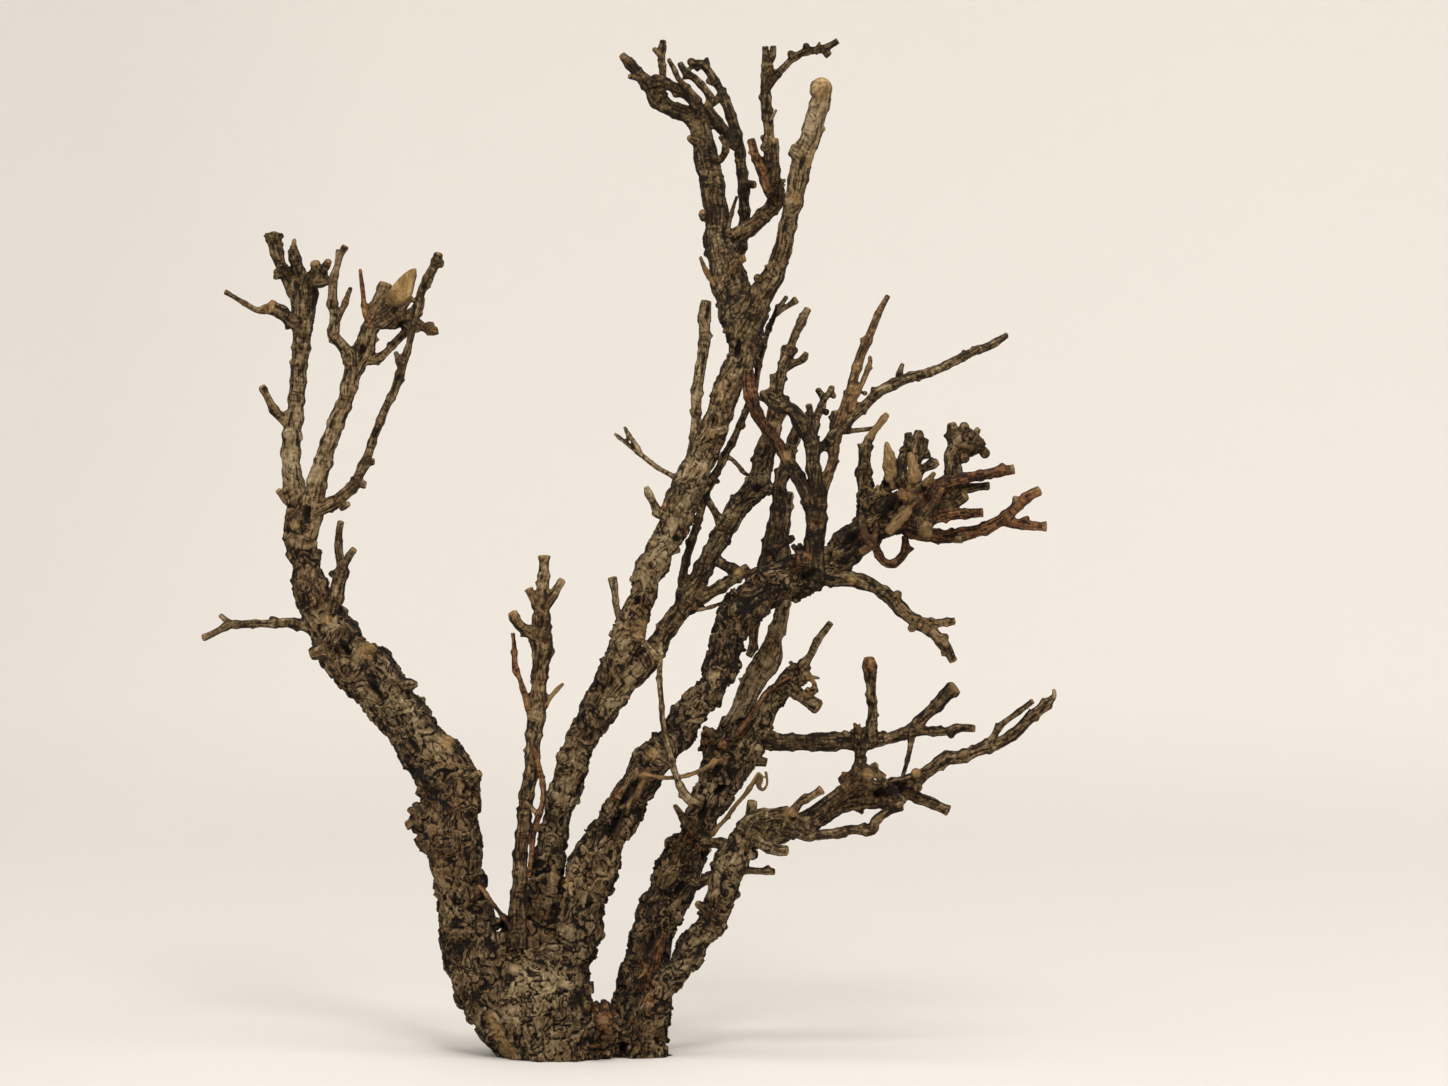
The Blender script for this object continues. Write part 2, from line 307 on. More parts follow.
# %%
STEMS.update({
    "leaning_limb": [
        ((-2, -4, -8, -6, -4), [(-1.5, 55, 8.2), (1, 62, 8.3), (4, 70, 7.6), (7.2, 76, 6.6), (13, 85, 5.9),
         (18.5, 95, 6), (23.5, 103, 6.2), (31, 111, 5.1), (36.8, 120, 5.5), (44.3, 130, 5.2), (47.3, 140, 5.3),
         (50, 147, 5.6), (54, 154, 6.5), (60, 160, 7.1), (67, 163.5, 7)]),
        ((-10,), [(12, 89, 2.6), (19, 100, 2.4)]),
        ((-6,), [(29, 119.3, 1.8), (34, 118, 3)]),
        ((-4,), [(-5, 61, 3.6), (-2, 63, 5)]),
        ((-4, -2), [(58, 153, 2), (57.5, 146, 1.6), (57, 141, 1.5), (55.5, 138, 1.3)]),
        ((-12, -15, -14), [(18, 98.5, 1.0), (20.5, 98, 0.85), (26.6, 96.7, 0.8), (32.7, 97, 0.8),
         (37.6, 98.5, 0.8), (43, 101, 0.95), (47, 102.7, 1.1)], "ochre"),
        ((-11, -12), [(17, 90, 1.3), (19.5, 96, 1.1), (20.5, 102, 0.9)], "ochre"),
        ((-12, -12), [(13.5, 84, 1.1), (15.5, 90, 0.9), (16.5, 95.5, 0.7)], "brown"),
        ((-10, -11), [(21.5, 98, 1.2), (23.3, 102, 1.0), (24.5, 106, 0.8)], "ochre"),
        ((-11, -11), [(10, 78, 1.0), (12, 82, 0.8), (13, 86, 0.6)], "brown"),
    ],
    "crook": [
        ((-4, -6, -8, -10), [(62, 161, 7.1), (67, 163.5, 7), (75, 166.5, 6.5), (83, 170, 6.1), (90, 175.5, 6.1),
         (96, 181, 6.3), (99, 188, 6.3), (100, 194, 5.6)]),
        ((-14,), [(72, 171.5, 2.6), (76, 171, 2.8)]),
        ((-10, -12), [(93.5, 183, 2), (96.5, 176, 2.4)]),
        ((-9, -8), [(96, 193, 3), (95, 198, 2.4), (95, 205, 2.1), (95.5, 210, 2.1)]),
        ((-10, -8), [(101, 192, 3), (102.5, 197.5, 1.6)]),
        ((-8, -9), [(95.5, 210, 1.5), (98, 214, 1.2), (100.5, 217.5, 1.2), (103, 220.5, 1.1)], "tan"),
        ((-10, -16, -14), [(97, 182, 2), (99, 175, 1.6), (101, 171, 1.5), (104, 169.5, 1.5), (107, 171, 1.5),
         (109, 174.5, 1.5), (109, 179, 1.5)], "rust"),
        ((-12, -10), [(104.6, 194.5, 2), (104.6, 199.5, 2.9), (103.6, 205, 2.1), (102.6, 211, 0.6)], "tan"),
    ],
    "burl_cluster": [
        ((-12, -16, -18), [(99, 184, 5.5), (105, 184.6, 5.8), (112, 188, 6), (118, 190, 5.5), (124, 192, 4.2)]),
        ((-16, -10), [(123, 192, 3.6), (125, 200, 2.6), (125.2, 207, 2.8), (131, 211, 4.6), (133, 213, 4)]),
        ((-10, -10), [(126, 208, 3), (125.5, 213, 2.4), (124.5, 217.5, 1.3)]),
        ((-17, -10), [(110, 189.5, 2.4), (107.9, 198, 1.8), (108, 205, 1.7), (110, 209, 1.6), (110, 214, 1.5)]),
        ((-16, -14), [(112, 190, 3), (112.4, 203, 1.8), (113, 210, 1.6), (113.5, 215, 1.4)]),
        ((-22, -26), [(116, 193, 3), (118, 196, 2), (127, 198, 1.8), (137, 200, 1.7),
         (146, 201.8, 1.6)], "rust"),
        ((-20, -22), [(123, 192, 2.4), (130, 195, 1.5), (137.6, 195.8, 1.4)]),
        ((-20, -24), [(110, 184, 3), (116, 184, 2), (122, 185.5, 1.8), (130, 186.5, 1.6),
         (135.5, 187, 1.5)], "rust"),
        ((-22,), [(115.5, 181.5, 3.2), (115, 185, 3)]),
        ((-14, -12), [(113.5, 205, 1.5), (116, 212, 1.2)]),
        ((-13,), [(113.5, 206, 1.4), (117.5, 207, 1.3)]),
        ((-12,), [(129, 216, 1.8)]),
        ((-10,), [(136, 207, 1.9)]),
        ((-14,), [(129, 205.5, 2)]),
        ((-17, -20), [(109, 199, 1.6), (114, 201.6, 1.5), (120, 204.2, 1.4)]),
        ((-21, -23), [(107, 187, 1.6), (112, 190, 1.7), (116, 193.5, 1.0)], "brown"),
        ((-22, -25), [(114, 185.5, 1.7), (118.5, 190, 1.5), (121.5, 195, 0.9)], "brown"),
        ((-22, -25), [(110, 192.5, 1.5), (115, 196, 1.3), (119, 200.5, 0.8)], "ochre"),
        ((-20, -24), [(103, 180, 1.5), (107, 184.5, 1.8), (110.5, 188, 1.2)], "tan"),
        ((-19, -24), [(121, 188, 2.0), (126, 190.5, 2.2), (129.5, 193, 1.6)]),
        ((-20, -23), [(100, 188, 1.8), (104, 191, 2.0), (107, 193.5, 1.3)]),
        ((-18, -19, -18), [(94.2, 183, 1.2), (95.3, 179, 1.5), (98.5, 175, 1.3)], "brown"),
        ((-18, -18), [(99.2, 183.5, 0.8), (98.8, 179.5, 1.0), (98.2, 176, 1.2)], "brown"),
        ((-22,), [(116.3, 180.3, 2.0)], "ochre"),
        ((-20, -17), [(112.4, 196.5, 1.6), (111.8, 201, 2.2), (110.4, 207.4, 0.8)], "tan"),
    ],
    "bent_rod": [
        ((-14, -14, -20, -20), [(108, 184, 4), (112, 180.5, 3), (118, 179.3, 2.4), (124, 178.5, 2.2),
         (130, 180, 2.2), (136, 181.5, 2.2), (141, 184, 2.1), (144.5, 186.8, 2), (148, 190, 1.8),
         (151, 192.5, 1.8), (155, 194.5, 1.6)], "rust"),
        ((-20, -20), [(142, 184.3, 2), (145, 183.3, 1.7), (150, 182.5, 1.6), (157, 182, 1.5)], "rust"),
        ((-20, -20), [(146, 188.5, 1.2), (146.2, 192.5, 0.8)]),
        ((-18,), [(127, 179, 1.8), (127, 176.4, 1.6)]),
    ],
    "drooping_branch": [
        ((-8, -12, -18, -24), [(80, 167, 4.2), (86, 164.6, 3.2), (91, 164, 2.7), (98, 162, 2.3),
         (103, 158.5, 2.3), (108, 153.5, 2.3), (112, 150.5, 2.4), (116, 148, 2), (120, 144.5, 1.8),
         (123, 140.5, 1.7), (125.3, 136.3, 1.4)]),
        ((-19, -22), [(112, 150.5, 1.8), (118, 149.3, 1.4), (122, 149.5, 1.4), (126, 150, 1.3)]),
        ((-16,), [(106.3, 159, 1.6)]),
        ((-19,), [(111.2, 147.6, 1.6)]),
        ((-21,), [(122.4, 144.5, 1.5)]),
    ],
    "upright_stem": [
        ((2, 8, 12), [(61.5, 163, 4), (62.5, 172, 2.8), (63.5, 178, 2.6), (65, 185, 2.4), (66, 192, 2.4),
         (67, 199, 2.4), (69, 206, 2.2), (71, 212, 2), (73, 217, 1.9)]),
        ((1, 3), [(63, 173, 2.2), (66, 175.5, 1.5), (71.2, 178.5, 1.1)]),
    ],
    "antler_stem": [
        ((-12, -14, -16, -16), [(78, 169, 4), (78.5, 178, 3.3), (79, 186, 3), (79, 193, 2.4), (78, 199, 2.4),
         (77.5, 205, 2.4), (77, 211, 2.6), (74, 216, 2.8), (71, 221.5, 2.3), (67, 223, 2.2), (63, 225, 2.1),
         (61, 228.5, 1.7)]),
        ((-14, -12, -8), [(78.6, 180, 3), (77.5, 187, 2.6), (75.5, 193, 2.4), (73, 198, 2.3), (70, 203, 2.2),
         (68.3, 206.3, 2)]),
        ((-16, -15), [(68, 222, 2), (66, 226, 1.8), (66.3, 232, 1.7), (67.3, 237, 1.8), (69, 240.5, 1.6),
         (71.5, 247.5, 1.5), (73.5, 251.5, 1.5), (76, 256.5, 1.4)]),
        ((-16, -18), [(74, 215, 1.8), (76.5, 219.5, 1.4), (76, 223.8, 1)]),
        ((-14, -10), [(77, 213, 2), (78.5, 219, 1.5), (80, 222, 1.4), (81, 225, 1.3), (80, 227.5, 1.1),
         (79, 229, 0.9)]),
        ((-12, -11), [(81, 225, 1.1), (83.5, 228, 1), (84, 230, 1)]),
        ((-11,), [(84.5, 226.5, 1.1)]),
        ((-14,), [(82, 221, 1.3)]),
        ((-16,), [(68.5, 225.5, 1.3)]),
        ((-15, -13), [(67.5, 237.5, 1.5), (68.2, 243.7, 1.2)]),
        ((-15, -16), [(67.5, 235.5, 1.4), (71, 237.5, 1.2), (74, 239, 1.2), (75.5, 241.5, 1)]),
        ((-14,), [(71.3, 242, 1.4)]),
        ((-16, -15), [(64.5, 226, 1.2), (63.5, 234, 1)]),
        ((-8, -6, -4), [(69, 204.5, 2), (65.5, 210, 1.9), (62.5, 214, 1.8), (59, 219.5, 2), (56.8, 225, 2.3),
         (55.8, 230, 2.3), (55.5, 235.5, 1.9)], "rust"),
    ],
    "spray_stem": [
        ((-14, -9, -4, -2), [(79.5, 188, 2.8), (80.5, 193, 2.1), (82.5, 199, 1.8), (84.3, 205, 1.8),
         (84.8, 210, 1.9), (86, 215, 2.3), (88.5, 222, 1.9), (90.5, 229, 1.6), (92.5, 236, 1.6), (95, 243, 1.6),
         (97.5, 249, 1.4), (100, 255, 1.2), (103.2, 260.7, 1)], "brown"),
        ((-6, -7), [(85.2, 213, 2), (85, 221.5, 1.4)]),
        ((-6, -10), [(83.8, 212.5, 1.5), (79, 207.5, 1.4)]),
        ((-6, -8), [(88, 217, 1.3), (89, 219, 1), (91.5, 225, 1), (94, 230, 1), (95.5, 234, 1), (97, 238, 0.9),
         (96.8, 240.2, 0.8)], "ochre"),
        ((-8,), [(95.2, 227.4, 1)]),
        ((-6, -6), [(87, 214.3, 1), (97, 215.3, 0.8), (100.8, 215.7, 0.6)]),
    ],
    "long_twig": [
        ((-9, -4, 6, 18), [(85.6, 214, 2.2), (88, 217, 2), (91, 219.5, 1.9), (96, 224, 1.7), (100, 227.7, 1.8),
         (106, 230.8, 1.9), (111, 233, 1.7), (116.3, 234.2, 1.6), (123.6, 237.2, 1.5), (131, 241, 1.5),
         (138.3, 243.8, 1.4), (143.6, 247.2, 1.1)]),
        ((5, 5), [(106.5, 232, 1.2), (108, 237.7, 0.7)]),
        ((14,), [(132, 242.7, 1)]),
    ],
})
print("limbs and twigs:", len(STEMS))

# %% [markdown]
# The right side: a limb that forks close to the base, the level branch across it, and the low limb
# that reaches furthest out.

# %%
STEMS.update({
    "right_limb": [
        ((4, 6, 8, 10), [(19.5, 22, 9.5), (20, 30, 7.6), (22.8, 40, 6.9), (25.5, 50, 7.3), (29.5, 57, 7.5),
         (31, 62, 8), (34, 70, 7), (37, 77, 5.7), (40, 84, 5.6), (44, 92, 7), (48, 100, 8.3), (52, 107, 8),
         (55, 111, 6.4)]),
        ((8,), [(21, 50, 4), (17, 49.5, 1.4)]),
        ((8,), [(31, 74, 3), (27, 74.5, 1.3)]),
        ((10,), [(43, 109, 4), (41, 113, 2)]),
        ((10,), [(57, 103, 2.4), (62, 101.8, 1.4)]),
        ((3, 0), [(36, 80, 2), (34, 82, 1.5), (30.3, 87.5, 0.8)]),
        ((1,), [(47, 108, 2.2)]),
        ((8,), [(12.5, 27.5, 2.2)]),
        ((-3, -3, -2), [(22, 21, 2.0), (22.6, 28, 2.4), (24.3, 36, 1.9), (27, 44, 1.2)], "rust"),
        ((0, -6, -4), [(43, 77, 1.2), (44.5, 79, 0.8), (48, 83, 0.8), (51.5, 87.6, 0.8), (55.2, 91.9, 0.8),
         (57.5, 95.5, 0.8), (59, 98, 0.8), (60, 96, 0.7), (58.9, 93.7, 0.7), (60.5, 92.5, 0.6), (62, 95, 0.6),
         (61.4, 99, 0.5)], "ochre"),
    ],
    "rear_fork": [
        ((11, 14, 17, 22), [(46, 107, 4.4), (48, 111, 3.5), (51.5, 117, 3.3), (55, 124, 3.6), (58, 130, 4),
         (61, 135, 5), (63.5, 140, 4.1), (64.5, 145, 2.8), (66.5, 150, 2.6), (67.5, 156, 2.5), (67.2, 166, 2.3),
         (67.5, 176, 2), (68.5, 186, 1.7), (69.5, 194, 1.3)]),
    ],
    "knobbed_fork": [
        ((8, 6, 0), [(54, 108, 6), (56, 112, 5), (61, 119, 4.8), (65, 124, 4), (70, 130, 3.4), (74, 132, 3.4)]),
        ((0,), [(72, 129.5, 2.6), (75, 134, 2.4)]),
        ((2, -3), [(69, 127.5, 2.6), (72.3, 125.3, 2.1), (75.9, 122.9, 2.2), (79.8, 120.2, 2.3)]),
        ((-1, -5), [(72.8, 133.5, 2), (76.5, 138, 1.4), (78.9, 143, 1.3), (83.7, 149.6, 1.2)]),
        ((0, 0), [(75, 131, 1), (80, 130.6, 0.5)]),
        ((-2, -3, -2), [(74, 126, 1), (76, 124.8, 0.8), (78.4, 127, 0.8), (77, 130, 0.8),
         (74.5, 130, 0.8)], "ochre"),
        ((1, -2, -2), [(51, 111, 1), (53.4, 113.8, 0.9), (58.3, 120.4, 0.9), (61.9, 126, 0.9), (66.8, 129, 0.9),
         (70.4, 130.9, 0.9)], "rust"),
    ],
    "level_branch": [
        ((10, 4, -2, -6), [(54, 109, 5), (58, 110, 3.8), (66, 108.9, 2.9), (74, 109, 2.6), (82, 108.9, 3.2),
         (89, 109.2, 3.2), (95, 108.9, 2.9), (101, 109.6, 2), (107, 111.3, 2), (110.5, 112.5, 2.2),
         (116, 118, 2), (120, 121.5, 2.1), (123, 125, 2.4), (126.2, 127.7, 2.4)]),
        ((-5, -9), [(110.5, 112.5, 1.9), (117, 112.5, 1.6), (122, 112.3, 1.6), (127, 113.5, 1.5),
         (132.7, 113.4, 1.4)]),
        ((-1, 3), [(98, 109, 2.2), (97.5, 113, 1.8), (97.8, 120, 1.7), (97.3, 126, 1.6), (96.8, 131, 1.9),
         (96.8, 134.5, 2.8), (96.6, 137.7, 1.5)]),
        ((-1,), [(93, 113.5, 2.5), (93.5, 110.5, 2.2)]),
        ((-1, -4), [(94, 107.5, 2.2), (93.2, 102, 1.6), (91.5, 98, 1.5), (90, 95.5, 1.4)]),
        ((-3,), [(93.2, 103, 1.2), (95.9, 103, 0.8)]),
        ((-9,), [(124.5, 111.2, 1.3)]),
        ((-5, -8, -9), [(111, 111.8, 1.2), (110.3, 105.3, 0.9), (107.9, 96.5, 0.8)]),
    ],
    "low_limb": [
        ((-3, -6, -10, -14, -18), [(21, 14, 6), (24, 19, 5.4), (26, 24.5, 5), (32, 32, 4.7), (38, 41, 4.7),
         (43, 48, 4.8), (46, 55, 4.8), (48, 62, 5), (51, 70, 5.3), (54, 76, 4.8), (60, 78, 4.1),
         (66, 78.5, 3.8), (72, 79.8, 3.5), (77.5, 83, 3.8)]),
        ((-12, -14), [(54, 78, 2.8), (56, 82, 2), (57, 89, 1.7)]),
        ((-16, -20), [(54, 79, 3), (57.5, 83.3, 2.3), (63, 84, 2), (69.3, 84.7, 2.2)]),
        ((-17, -20), [(57, 76, 2.6), (60.6, 74.2, 2.2), (64.9, 72.4, 2), (69.2, 71.8, 1.8)]),
        ((-13, -10), [(48, 64, 2.4), (54, 65.3, 1.4), (58, 65, 1.2), (64.6, 64.8, 1.2)]),
        ((-10, -12), [(41, 52, 2), (38, 54.3, 0.9)]),
        ((-11,), [(49, 57, 2), (52.9, 57, 0.8)]),
        ((-6, -2, 2), [(45, 64, 2), (41, 62, 1.8), (38, 60.5, 1.8), (35, 62, 2)]),
        ((-8, -2), [(48, 74, 2), (44, 74.5, 1.8), (40, 75, 2)]),
        ((-21, -23), [(70, 84, 1.8), (73.4, 88.6, 1.4), (76, 89.8, 1.4), (80.8, 92.7, 1.4)]),
    ],
    "lower_twig": [
        ((-20, -25, -27), [(72, 79, 2.8), (76.8, 77.3, 1.9), (85.6, 77.7, 1.6), (90.4, 78.9, 1.6),
         (97.7, 78.9, 1.7), (98.5, 82.1, 1.5), (103.3, 85.3, 1.4), (108.1, 87, 1.5)]),
    ],
    "outer_limb": [
        ((-17, -21, -26, -30), [(76, 82.2, 3.8), (81, 85.3, 3.9), (85, 89.3, 3), (92, 93.5, 2.7),
         (100, 93.5, 2.2), (107, 94.5, 2.3), (112, 96, 2.6), (116, 98.5, 2), (121, 102, 2.1),
         (123.5, 103.5, 2.7), (128, 103.8, 2), (133, 105.5, 1.9), (137, 107.5, 2.4), (142, 109, 1.9),
         (147, 112.5, 1.8), (151, 117, 1.8), (155, 120, 1.8), (157.5, 122.3, 2.3)]),
        ((-18, -18, -20), [(81.5, 85.3, 3.3), (85, 86.6, 2.9), (90, 88, 2.8), (97, 89, 2.7), (103, 89.4, 2.5),
         (108, 88.5, 2.4)]),
        ((-26, -28), [(88, 94, 3), (93, 97, 3.2), (98, 96.5, 3)]),
        ((-30, -31), [(157.5, 122.3, 1.4), (159.6, 124.5, 0.9), (159.3, 126.9, 0.7)]),
        ((-28, -29), [(95, 98, 1.4), (99.4, 101.5, 1)]),
        ((-29, -30, -24), [(98, 100, 1.2), (103, 94, 1.6), (108.3, 88.5, 1.7)]),
        ((-28, -31), [(136, 107.5, 1.6), (138.5, 110, 1.3), (141.3, 114.5, 1.1), (146.4, 118.3, 1),
         (152.5, 122.8, 1.1)]),
        ((-27,), [(112.5, 98.3, 1.8)]),
        ((-25,), [(113, 93.5, 1.8)]),
        ((-20, -18), [(107, 89.5, 2), (110, 91, 1.8), (114, 89.5, 1.8), (118, 88, 1.7), (123.8, 85.3, 1.7)]),
    ],
})
print("limbs and twigs:", len(STEMS), "runs:", sum(len(rows) for rows in STEMS.values()))

# %% [markdown]
# Placing: a station goes to its place in space along the line of sight of the level eye, so limbs
# that come forward are a little smaller than they look, and limbs at the back a little larger.

# %%
def place(across, up, depth):
    """The place in space of a station: across and up as the eye sees them, depth from the middle, mm."""
    away = (EYE_DISTANCE / MM + depth) / (EYE_DISTANCE / MM)
    return Vector(((EYE_ACROSS + (across - EYE_ACROSS) * away) * MM, depth * MM,
                   EYE_HEIGHT + (up - EYE_UP) * away * MM))


def depth_at(depths, share):
    """Depth at a share of a limb's length, between the depths given for it."""
    if len(depths) == 1:
        return depths[0]
    t = share * (len(depths) - 1)
    i = min(int(t), len(depths) - 2)
    return depths[i] + (depths[i + 1] - depths[i]) * (t - i)


def route(depths, stations):
    """The stations as places in space with their radii, metres."""
    steps = [0.0]
    for a, b in zip(stations, stations[1:]):
        steps.append(steps[-1] + math.hypot(a[0] - b[0], a[1] - b[1]))
    whole = steps[-1] or 1.0
    return [(place(x, z, depth_at(depths, s / whole)), r * MM)
            for (x, z, r), s in zip(stations, steps)]


def smooth_step(a, b, x):
    t = min(1.0, max(0.0, (x - a) / (b - a)))
    return t * t * (3.0 - 2.0 * t)


def spline(points, step):
    """Catmull-Rom through a route, sampled about every step; keeps the radii."""
    out = []
    n = len(points)
    for i in range(n - 1):
        p0 = points[max(i - 1, 0)]
        p1, p2 = points[i], points[i + 1]
        p3 = points[min(i + 2, n - 1)]
        count = max(1, int(round((p2[0] - p1[0]).length / step)))
        for k in range(count):
            t = k / count
            t2, t3 = t * t, t * t * t
            at = 0.5 * ((2 * p1[0]) + (p2[0] - p0[0]) * t + (2 * p0[0] - 5 * p1[0] + 4 * p2[0] - p3[0]) * t2
                        + (3 * p1[0] - 3 * p2[0] + p3[0] - p0[0]) * t3)
            out.append((at, p1[1] + (p2[1] - p1[1]) * t))
    out.append(points[-1])
    return out


# %% [markdown]
# How each limb has weathered, and which limbs make up one piece: scaly bark low down, tight bark on
# the forks, bleached wood on the left forks and the crown's right stem, dark wood on the right.

# %%
# share of scaly bark (the rest is tight bark) at the foot and at the tip of each limb
TIGHT_BARK = (0.15, 0.15)      # limbs that BARKY doesn't name
BARKY = {"stump": (1.0, 1.0), "left_limb": (1.0, 0.6), "tall_limb": (1.0, 0.3), "leaning_limb": (0.95, 0.95),
         "right_limb": (1.0, 0.9), "low_limb": (0.95, 0.7), "crook": (0.85, 0.85), "inner_limb": (0.5, 0.4),
         "inner_fork": (0.55, 0.45), "rear_fork": (0.3, 0.3), "knobbed_fork": (0.7, 0.7),
         "burl_cluster": (0.6, 0.5), "crown_left": (0.4, 0.35), "crown_right": (0.3, 0.2),
         "slender_shoot": (0.35, 0.15), "outer_fork": (0.3, 0.12)}
PIECES = {
    "butt": (["stump"], "weathered_bark"),
    "left_arm": (["left_limb", "slender_shoot"], "weathered_bark"),
    "left_forks": (["outer_fork", "middle_fork", "slender_fork"], "grey_worn_wood"),
    "tall_arm": (["tall_limb", "inner_limb", "inner_fork", "thin_stem"], "weathered_bark"),
    "crown": (["crown_left", "crown_right", "crown_middle", "crown_stem"], "grey_worn_wood"),
    "leaning_arm": (["leaning_limb", "crook", "upright_stem", "drooping_branch"], "weathered_bark"),
    "burl": (["burl_cluster", "bent_rod"], "rusty_twig"),
    "antlers": (["antler_stem", "spray_stem", "long_twig"], "brown_twig"),
    "right_arm": (["right_limb", "rear_fork", "knobbed_fork"], "weathered_bark"),
    "low_arm": (["low_limb", "lower_twig", "outer_limb", "level_branch"], "brown_twig"),
}
# how light or dark a limb has weathered, at its foot and at its tip, against the middling limb
TONE = {"stump": (-0.06, -0.05), "left_limb": (-0.03, -0.06), "tall_limb": (-0.02, 0.08),
        "crook": (-0.16, -0.12), "right_limb": (-0.17, -0.01), "level_branch": (-0.14, -0.04),
        "outer_limb": (-0.08, -0.02), "lower_twig": (-0.1, -0.06), "burl_cluster": (-0.2, -0.08),
        "antler_stem": (-0.26, -0.04), "spray_stem": (-0.14, -0.02), "long_twig": (-0.08, -0.1),
        "slender_fork": (0.0, -0.12), "outer_fork": (0.12, -0.12), "middle_fork": (0.16, -0.06),
        "crown_right": (-0.1, 0.16), "crown_left": (-0.07, -0.16), "crown_middle": (-0.08, -0.14),
        "crown_stem": (-0.22, -0.16), "thin_stem": (-0.18, -0.12), "inner_fork": (-0.12, 0.0),
        "inner_limb": (0.04, -0.06), "upright_stem": (-0.28, -0.06), "rear_fork": (0.22, -0.01),
        "knobbed_fork": (-0.06, -0.04), "drooping_branch": (-0.04, -0.06), "bent_rod": (-0.08, -0.04),
        "low_limb": (-0.08, -0.02), "leaning_limb": (-0.04, -0.18), "slender_shoot": (-0.12, 0.04)}


def along_limb(pair, z, low, high):
    """A value that changes from the foot of a limb to its tip."""
    share = min(1.0, max(0.0, (z - low) / max(high - low, 1e-6)))
    return pair[0] + (pair[1] - pair[0]) * share


def depth_near(node, across, up):
    """Depth of the limb's wood at a place in the picture plane, mm."""
    best, depth = 1e9, 0.0
    for row in STEMS[node]:
        for k, (x, z, r) in enumerate(row[1]):
            far = math.hypot(x - across, z - up) - r
            if far < best:
                best, depth = far, depth_at(row[0], k / max(1, len(row[1]) - 1))
    return depth


# knots of short dead spurs: limb, across, up, spread, how many, thickness
KNOTS = [("burl_cluster", 112, 191, 8.5, 26, 1.5), ("burl_cluster", 121, 193, 7, 14, 1.3),
         ("burl_cluster", 131, 210, 5.6, 22, 1.4), ("burl_cluster", 110.5, 209, 4, 7, 1.0),
         ("outer_fork", -105.5, 279.5, 3.4, 9, 1.2), ("outer_fork", -90.5, 268, 3.6, 9, 1.1),
         ("outer_fork", -98.5, 276, 2.4, 4, 0.9), ("outer_fork", -104, 268, 2.6, 5, 1.0),
         ("middle_fork", -62.5, 250.8, 3.8, 10, 1.1), ("middle_fork", -52, 249.3, 2.8, 7, 0.9),
         ("middle_fork", -84.5, 246, 2.8, 5, 1.0), ("slender_fork", -50.5, 273, 2.4, 4, 0.8),
         ("knobbed_fork", 73, 132, 5.5, 14, 1.2), ("knobbed_fork", 77, 125.5, 3.0, 6, 1.0),
         ("outer_limb", 93, 96.5, 6.0, 13, 1.3), ("outer_limb", 112.5, 96, 3.4, 6, 1.0),
         ("outer_limb", 123.5, 103.5, 3.2, 5, 0.9), ("slender_shoot", -14.8, 146, 5.2, 11, 1.5),
         ("crown_left", 25, 330, 4.4, 9, 1.1), ("crown_left", 38, 322, 5.4, 9, 1.2),
         ("crown_left", 14.5, 341, 2.6, 5, 0.8), ("crown_middle", 64.5, 297, 4.2, 9, 1.1),
         ("crown_middle", 61.8, 337, 2.8, 6, 0.9), ("crown_middle", 79, 344.5, 3.0, 6, 0.8),
         ("crown_stem", 37.5, 339, 3.0, 6, 0.9), ("right_limb", 46, 109, 8.5, 12, 1.8),
         ("right_limb", 31, 61, 8.5, 9, 1.7), ("stump", 19, 18, 10.5, 16, 2.2), ("stump", 6, 16, 6.5, 7, 1.5),
         ("stump", -24, 45, 7.5, 10, 1.6), ("level_branch", 96.8, 134.5, 2.8, 6, 0.9),
         ("level_branch", 93, 112, 4.0, 6, 1.1), ("tall_limb", 15, 147, 6.4, 8, 1.5),
         ("tall_limb", 33, 188, 7.0, 8, 1.4), ("tall_limb", 54, 250, 8.0, 9, 1.7),
         ("crook", 99, 191, 7.6, 10, 1.5), ("crook", 75, 170, 8.0, 8, 1.5),
         ("inner_limb", 36, 159, 5.2, 7, 1.2), ("antler_stem", 62, 227.5, 2.8, 5, 0.9),
         ("drooping_branch", 112, 150, 3.2, 4, 0.9), ("left_limb", -80, 138, 10.5, 12, 2.0),
         ("left_limb", -55, 84, 6.5, 9, 2.0), ("left_limb", -95, 184, 6.4, 8, 1.3)]
KNOT_NEAR = 1.0      # mm, how far a knot's middle lies in front of its limb's
# how rusty and how bare each word in the table makes a twig
TINTS = {"rust": (1.0, 0.0), "ochre": (0.75, 0.55), "tan": (0.0, 1.0), "brown": (0.45, 0.1)}
SPAN = {node: (min(s[1] for row in rows for s in row[1]), max(s[1] for row in rows for s in row[1]))
        for node, rows in STEMS.items()}
print("pieces:", len(PIECES), "knots of spurs:", len(KNOTS))

# %% [markdown]
# Growth marks: a live twig carries ring scars, swollen nodes and small dormant buds. Each run is
# resampled, swayed a little and swelled at its nodes, and buds are set along it in a spiral.
# The thick limbs get burls of bark instead, which give the ragged outline.

# %%
SWAY = 0.16               # sideways wander of a run, as a share of its radius
RING = 0.0011             # m, the ring scars come every 2 pi of this
BUD_FREE = 2.5 * MM       # no bud this near a cut end


